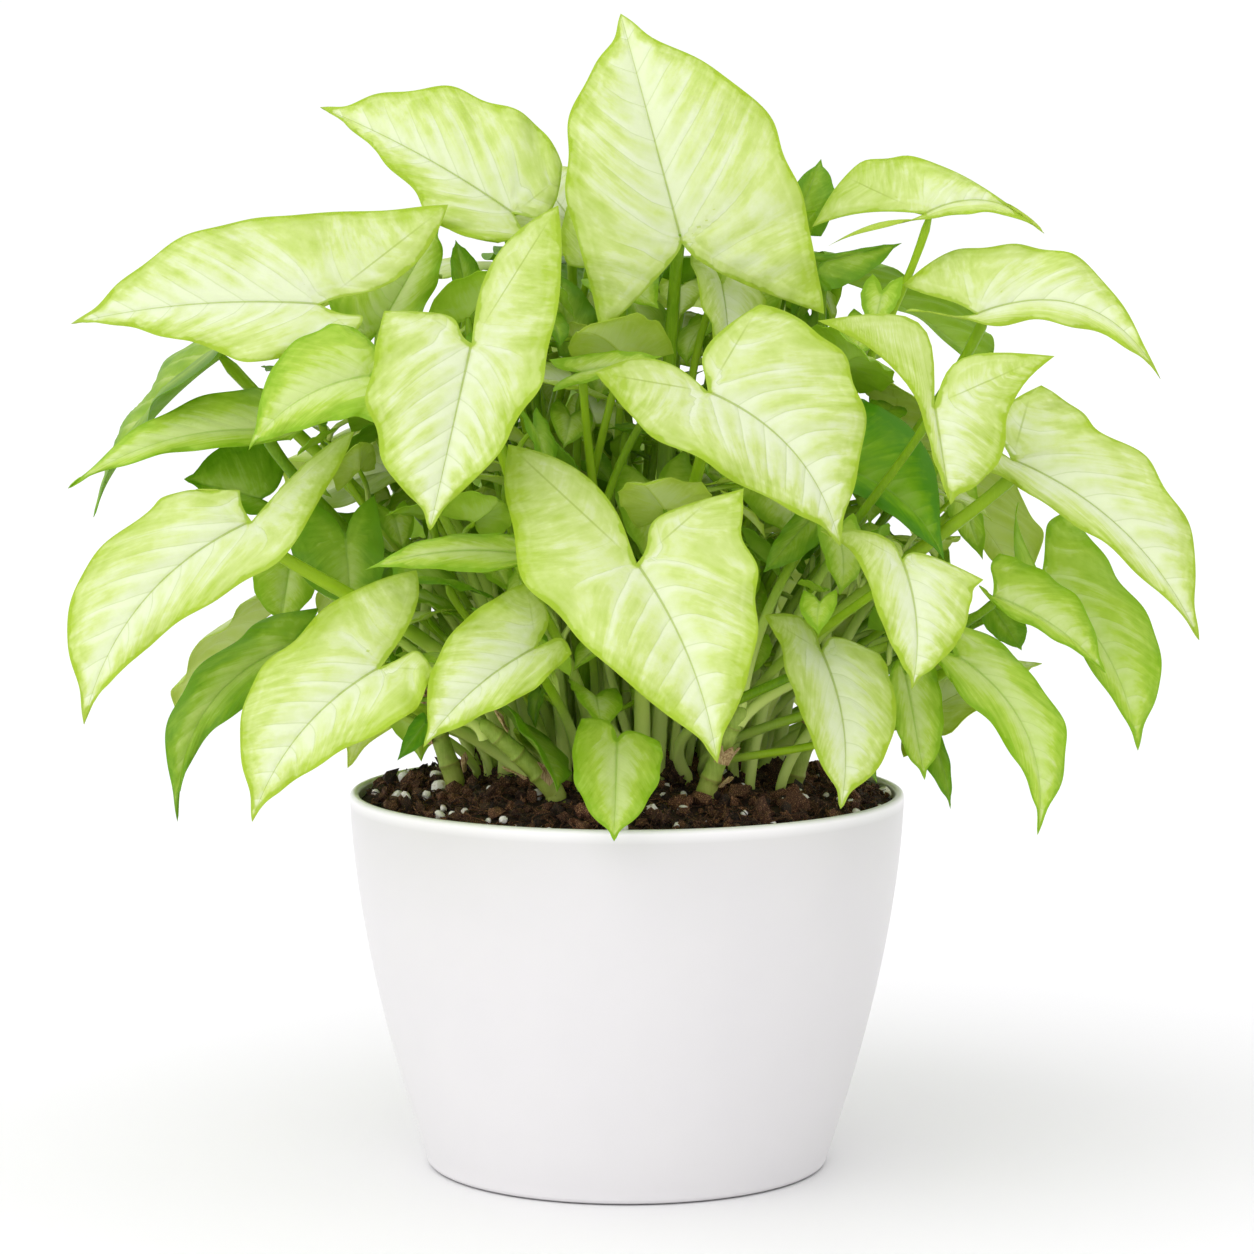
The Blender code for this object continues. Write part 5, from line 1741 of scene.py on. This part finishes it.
def stands_before(blade, fronts):
    """Whether a blade would hide a part of the large front leaves."""
    (edge_a, lobe_a), (edge_b, lobe_b) = blade.sides
    for flat in (Vector((0.0, 0.0)), blade.tip, blade.tip * 0.5, edge_a, lobe_a, edge_b, lobe_b):
        place = blade.place(flat.x, flat.y)
        for tree, _, _ in fronts:
            if tree.ray_cast(place, place - EYE)[0] is not None:
                return True
    return False


def random_blades(joint, facing, habit, fronts, draw):
    """A few sizes of one small blade that points this way, without those that would hide a large leaf."""
    outward = heading(facing)
    pitch = math.radians(draw.uniform(*habit.pitches))
    roll = math.radians(draw.uniform(-habit.roll, habit.roll))
    length = habit.longest * draw.uniform(0.5, 1.0)
    shape_seed = draw.random()
    choices = []
    for size in INNER_SIZES:
        choices.append(free_blade(joint, outward, pitch, roll, length * size, random.Random(shape_seed)))
    return [blade for blade in choices if not stands_before(blade, fronts)]


def clear_side_leaf(root, choices, taken):
    """The first of these blades that stands clear on a stalk from this root, with that stalk, or nothing."""
    for blade in choices:
        sheet = blade_sheet(blade, SMALL_LEAF_ROWS, SMALL_LEAF_COLUMNS)
        path = stalk_path(root, blade, 0.0, SIDE_STALK_STEPS, -STALK_END)
        free = path[3:]
        shape = test_shape([sheet], [(free, [SIDE_HABIT.stalk] * len(free))])
        if is_clear(shape, taken):
            taken.append(shape)
            return blade, path
    return None


def inner_leaf(slots, taken, fronts, draw):
    """A young leaf on its own thin stalk: its blade and the line of its stalk, or nothing without room."""
    angle = draw.uniform(0.0, math.tau)
    height = draw.uniform(CLUMP_LOW, CLUMP_HIGH)
    reach = math.sqrt(draw.random()) * (1.0 - CLUMP_NARROWING * max(height - CLUMP_SHOULDER, 0.0))
    middle = CLUMP_MIDDLE + CLUMP_LEAN * (height - CLUMP_LOW)
    across = CLUMP_ACROSS * reach * math.cos(angle)
    joint = Vector((across, CLUMP_BACK * reach * math.sin(angle) + middle, height))
    facing = angle + draw.uniform(-INNER_SWING, INNER_SWING)
    choices = random_blades(joint, facing, INNER_HABIT, fronts, draw)
    found = find_place(choices, SMALL_LEAF_ROWS, slots, taken, INNER_HABIT.stalk)
    if found is None:
        return None
    return found[0], stalk_line(found[1], found[0], found[2])


def side_leaf(stalks, taken, fronts, draw):
    """A small leaf that comes out of an older stalk: its blade and the line of its stalk, or nothing."""
    line = draw.choice(stalks)
    last_root = SIDE_ROOT_FRONT if line[-1].y < 0.0 else SIDE_ROOT_BACK
    root = line[int(len(line) * draw.uniform(SIDE_ROOT, last_root))]
    angle = draw.uniform(0.0, math.tau)
    joint = root + heading(angle) * draw.uniform(*SIDE_OUT) + straight_up(draw.uniform(*SIDE_UP))
    facing = angle + draw.uniform(-SIDE_SWING, SIDE_SWING)
    choices = random_blades(joint, facing, SIDE_HABIT, fronts, draw)
    highest = SIDE_HIGH - 0.5 * max(abs(joint.x) - 0.04, 0.0)
    if joint.y < SIDE_FRONT or not SIDE_LOW < joint.z < highest:
        return None
    return clear_side_leaf(root, choices, taken)


def screen_leaf(stalks, taken, fronts, draw):
    """A small hanging leaf deep in the clump that faces the eye, so that less light shows through."""
    line = draw.choice(stalks)
    root = line[int(len(line) * draw.uniform(*SCREEN_ROOT))]
    facing = -0.5 * math.pi + draw.uniform(-SCREEN_SWING, SCREEN_SWING)
    joint = root + heading(facing) * draw.uniform(*SCREEN_OUT) + straight_up(draw.uniform(*SCREEN_UP))
    choices = random_blades(joint, facing, SCREEN_HABIT, fronts, draw)
    inside = SCREEN_BACK[0] < joint.y < SCREEN_BACK[1] and abs(joint.x) < SCREEN_ACROSS
    if not inside or not SCREEN_HEIGHTS[0] < joint.z < SCREEN_HEIGHTS[1]:
        return None
    return clear_side_leaf(root, choices, taken)


def make_inner_leaves(finishes, slots, stalks, taken, fronts, draw):
    """Small young leaves that fill the middle of the clump, each clear of what stands there."""
    leaves = {tone: Piece() for tone in INNER_TONES}
    rounds = (
        (inner_leaf, INNER_HABIT, slots, draw),
        (side_leaf, SIDE_HABIT, stalks, draw),
        (screen_leaf, SCREEN_HABIT, stalks, random.Random(SCREEN_SEED)),
    )
    for grow, habit, roots, chance in rounds:
        made = 0
        for _ in range(habit.tries):
            if made == habit.wanted:
                break
            found = grow(roots, taken, fronts, chance)
            if found is None:
                continue
            made += 1
            blade, line = found
            leaf = leaves[chance.choice(INNER_TONES)]
            add_blade(leaf, 0, blade, chance.random(), INNER_LEAF_CELL)
            add_stalk(leaf, 1, line, habit.stalk, habit.stalk * 0.9, chance.random(), 8)
            if habit is INNER_HABIT:
                stalks.append(line)
    for tone, leaf in leaves.items():
        leaf.build("inner_leaves_" + tone, [finishes[tone], finishes["stalk"]], "leaf_" + tone)


def make_spears(finishes, slots, taken, draw):
    """Young leaves that are still rolled up: slim spears on straight stalks."""
    spears = Piece()
    made = 0
    for slot in sorted(slots, key=lambda place: draw.random()):
        if made == SPEARS:
            break
        lean_across = draw.uniform(-SPEAR_SWAY, SPEAR_SWAY) + slot.x * SPEAR_LEAN
        lean_back = draw.uniform(-SPEAR_SWAY, SPEAR_SWAY) + slot.y * SPEAR_LEAN
        lean = Vector((lean_across, lean_back, 1.0)) * 0.5
        tall = draw.uniform(*SPEAR_LENGTH)
        start = Vector((slot.x, slot.y, soil_height(slot.x, slot.y) - HOLE_DEPTH * 0.4))
        second = start + straight_up(tall * 0.5)
        end = start + Vector((lean.x * tall, lean.y * tall, tall))
        path = []
        radii = []
        for step in range(SPEAR_STEPS + 1):
            share = step / SPEAR_STEPS
            path.append(bezier2(start, second, end, share))
            radius = SPEAR_RADIUS + SPEAR_FOOT * (1.0 - share) + SPEAR_BELLY * bell(share, *SPEAR_BELLY_SPOT)
            radii.append(radius - SPEAR_POINT_TAPER * max(share - SPEAR_POINT, 0.0))
        shape = test_shape([], [(path[::4], [radius * 1.1 for radius in radii[::4]])])
        if not is_clear(shape, taken):
            continue
        taken.append(shape)
        made += 1
        points, faces = swept(path, radii, SPEAR_SIDES)
        spears.add(points, faces, 0, **stalk_values(SPEAR_STEPS + 1, SPEAR_SIDES, draw.random()))
    spears.build("rolled_leaves", [finishes["stalk"]], "leaf_green")


def make_canes(slots, taken, finishes, look):
    """The canes with the small leaves on them, which take their room before any large leaf does."""
    canes = []
    for name, foot, top, small_leaves in CANES:
        foot, cane, blades, branches = cane_layout(foot, top, small_leaves)
        sheets = [blade_sheet(blade, SMALL_LEAF_ROWS, SMALL_LEAF_COLUMNS) for blade in blades]
        taken.append(test_shape(sheets, [cane] + branches))
        slots[:] = [slot for slot in slots if (slot - foot).length > FOOT_SPACING]
        make_cane(name, cane, blades, small_leaves, finishes, look)
        canes.append(cane)
    return canes


def make_large_leaves(slots, taken, finishes, look):
    """The leaves of the best side and then those of the hidden side. Gives the lines of their stalks, and
    the search trees of the blades in front."""
    stalks = []
    for leaf in LEAVES:
        choices = [blade_of(leaf, shift) for shift in SHIFTS]
        placed = find_place(choices, LEAF_ROWS, slots, taken)
        stalks.append(make_leaf(leaf.name, leaf.tone, placed, finishes, LEAF_CELL, look))
    fronts = taken[len(CANES)::2]
    draw = random.Random(BACK_SEED)
    for tier in BACK_TIERS:
        for number in range(tier[1]):
            choices = back_choices(tier, number, draw)
            placed = find_place(choices, BACK_LEAF_ROWS, slots, taken)
            name = f"leaf_back_{tier[0]}_{number + 1}"
            stalks.append(make_leaf(name, draw.choice(BACK_TONES), placed, finishes, BACK_LEAF_CELL, look))
    return stalks, fronts


def make_plant():
    """Canes, large leaves and what grows between them. Gives the places of all stalk feet."""
    finishes = {name: leaf_finish(name + " leaf", tone) for name, tone in LEAF_TONES.items()}
    finishes["stalk"] = stalk_finish()
    finishes["cane"] = cane_finish()
    look = random.Random(LOOK_SEED)
    slots = foot_slots()
    gaps = foot_slots((-FOOT_SPACING / math.sqrt(3.0), FOOT_SPACING / math.sqrt(3.0)))
    feet = slots + gaps
    taken = []
    canes = make_canes(slots, taken, finishes, look)
    stalks, fronts = make_large_leaves(slots, taken, finishes, look)
    inner = random.Random(INNER_SEED)
    slots += gaps
    make_inner_leaves(finishes, slots, stalks, taken, fronts, inner)
    make_spears(finishes, slots, taken, inner)
    make_sheaths(canes, sheath_finish(), inner)
    return [foot for foot in feet if foot not in slots]


make_stage()
stalk_feet = make_plant()
make_pot(pot_finish())
make_soil(soil_finish("dark peat", colour(22, 12, 8), colour(70, 42, 27), colour(140, 88, 56)))
make_litter(stalk_feet)
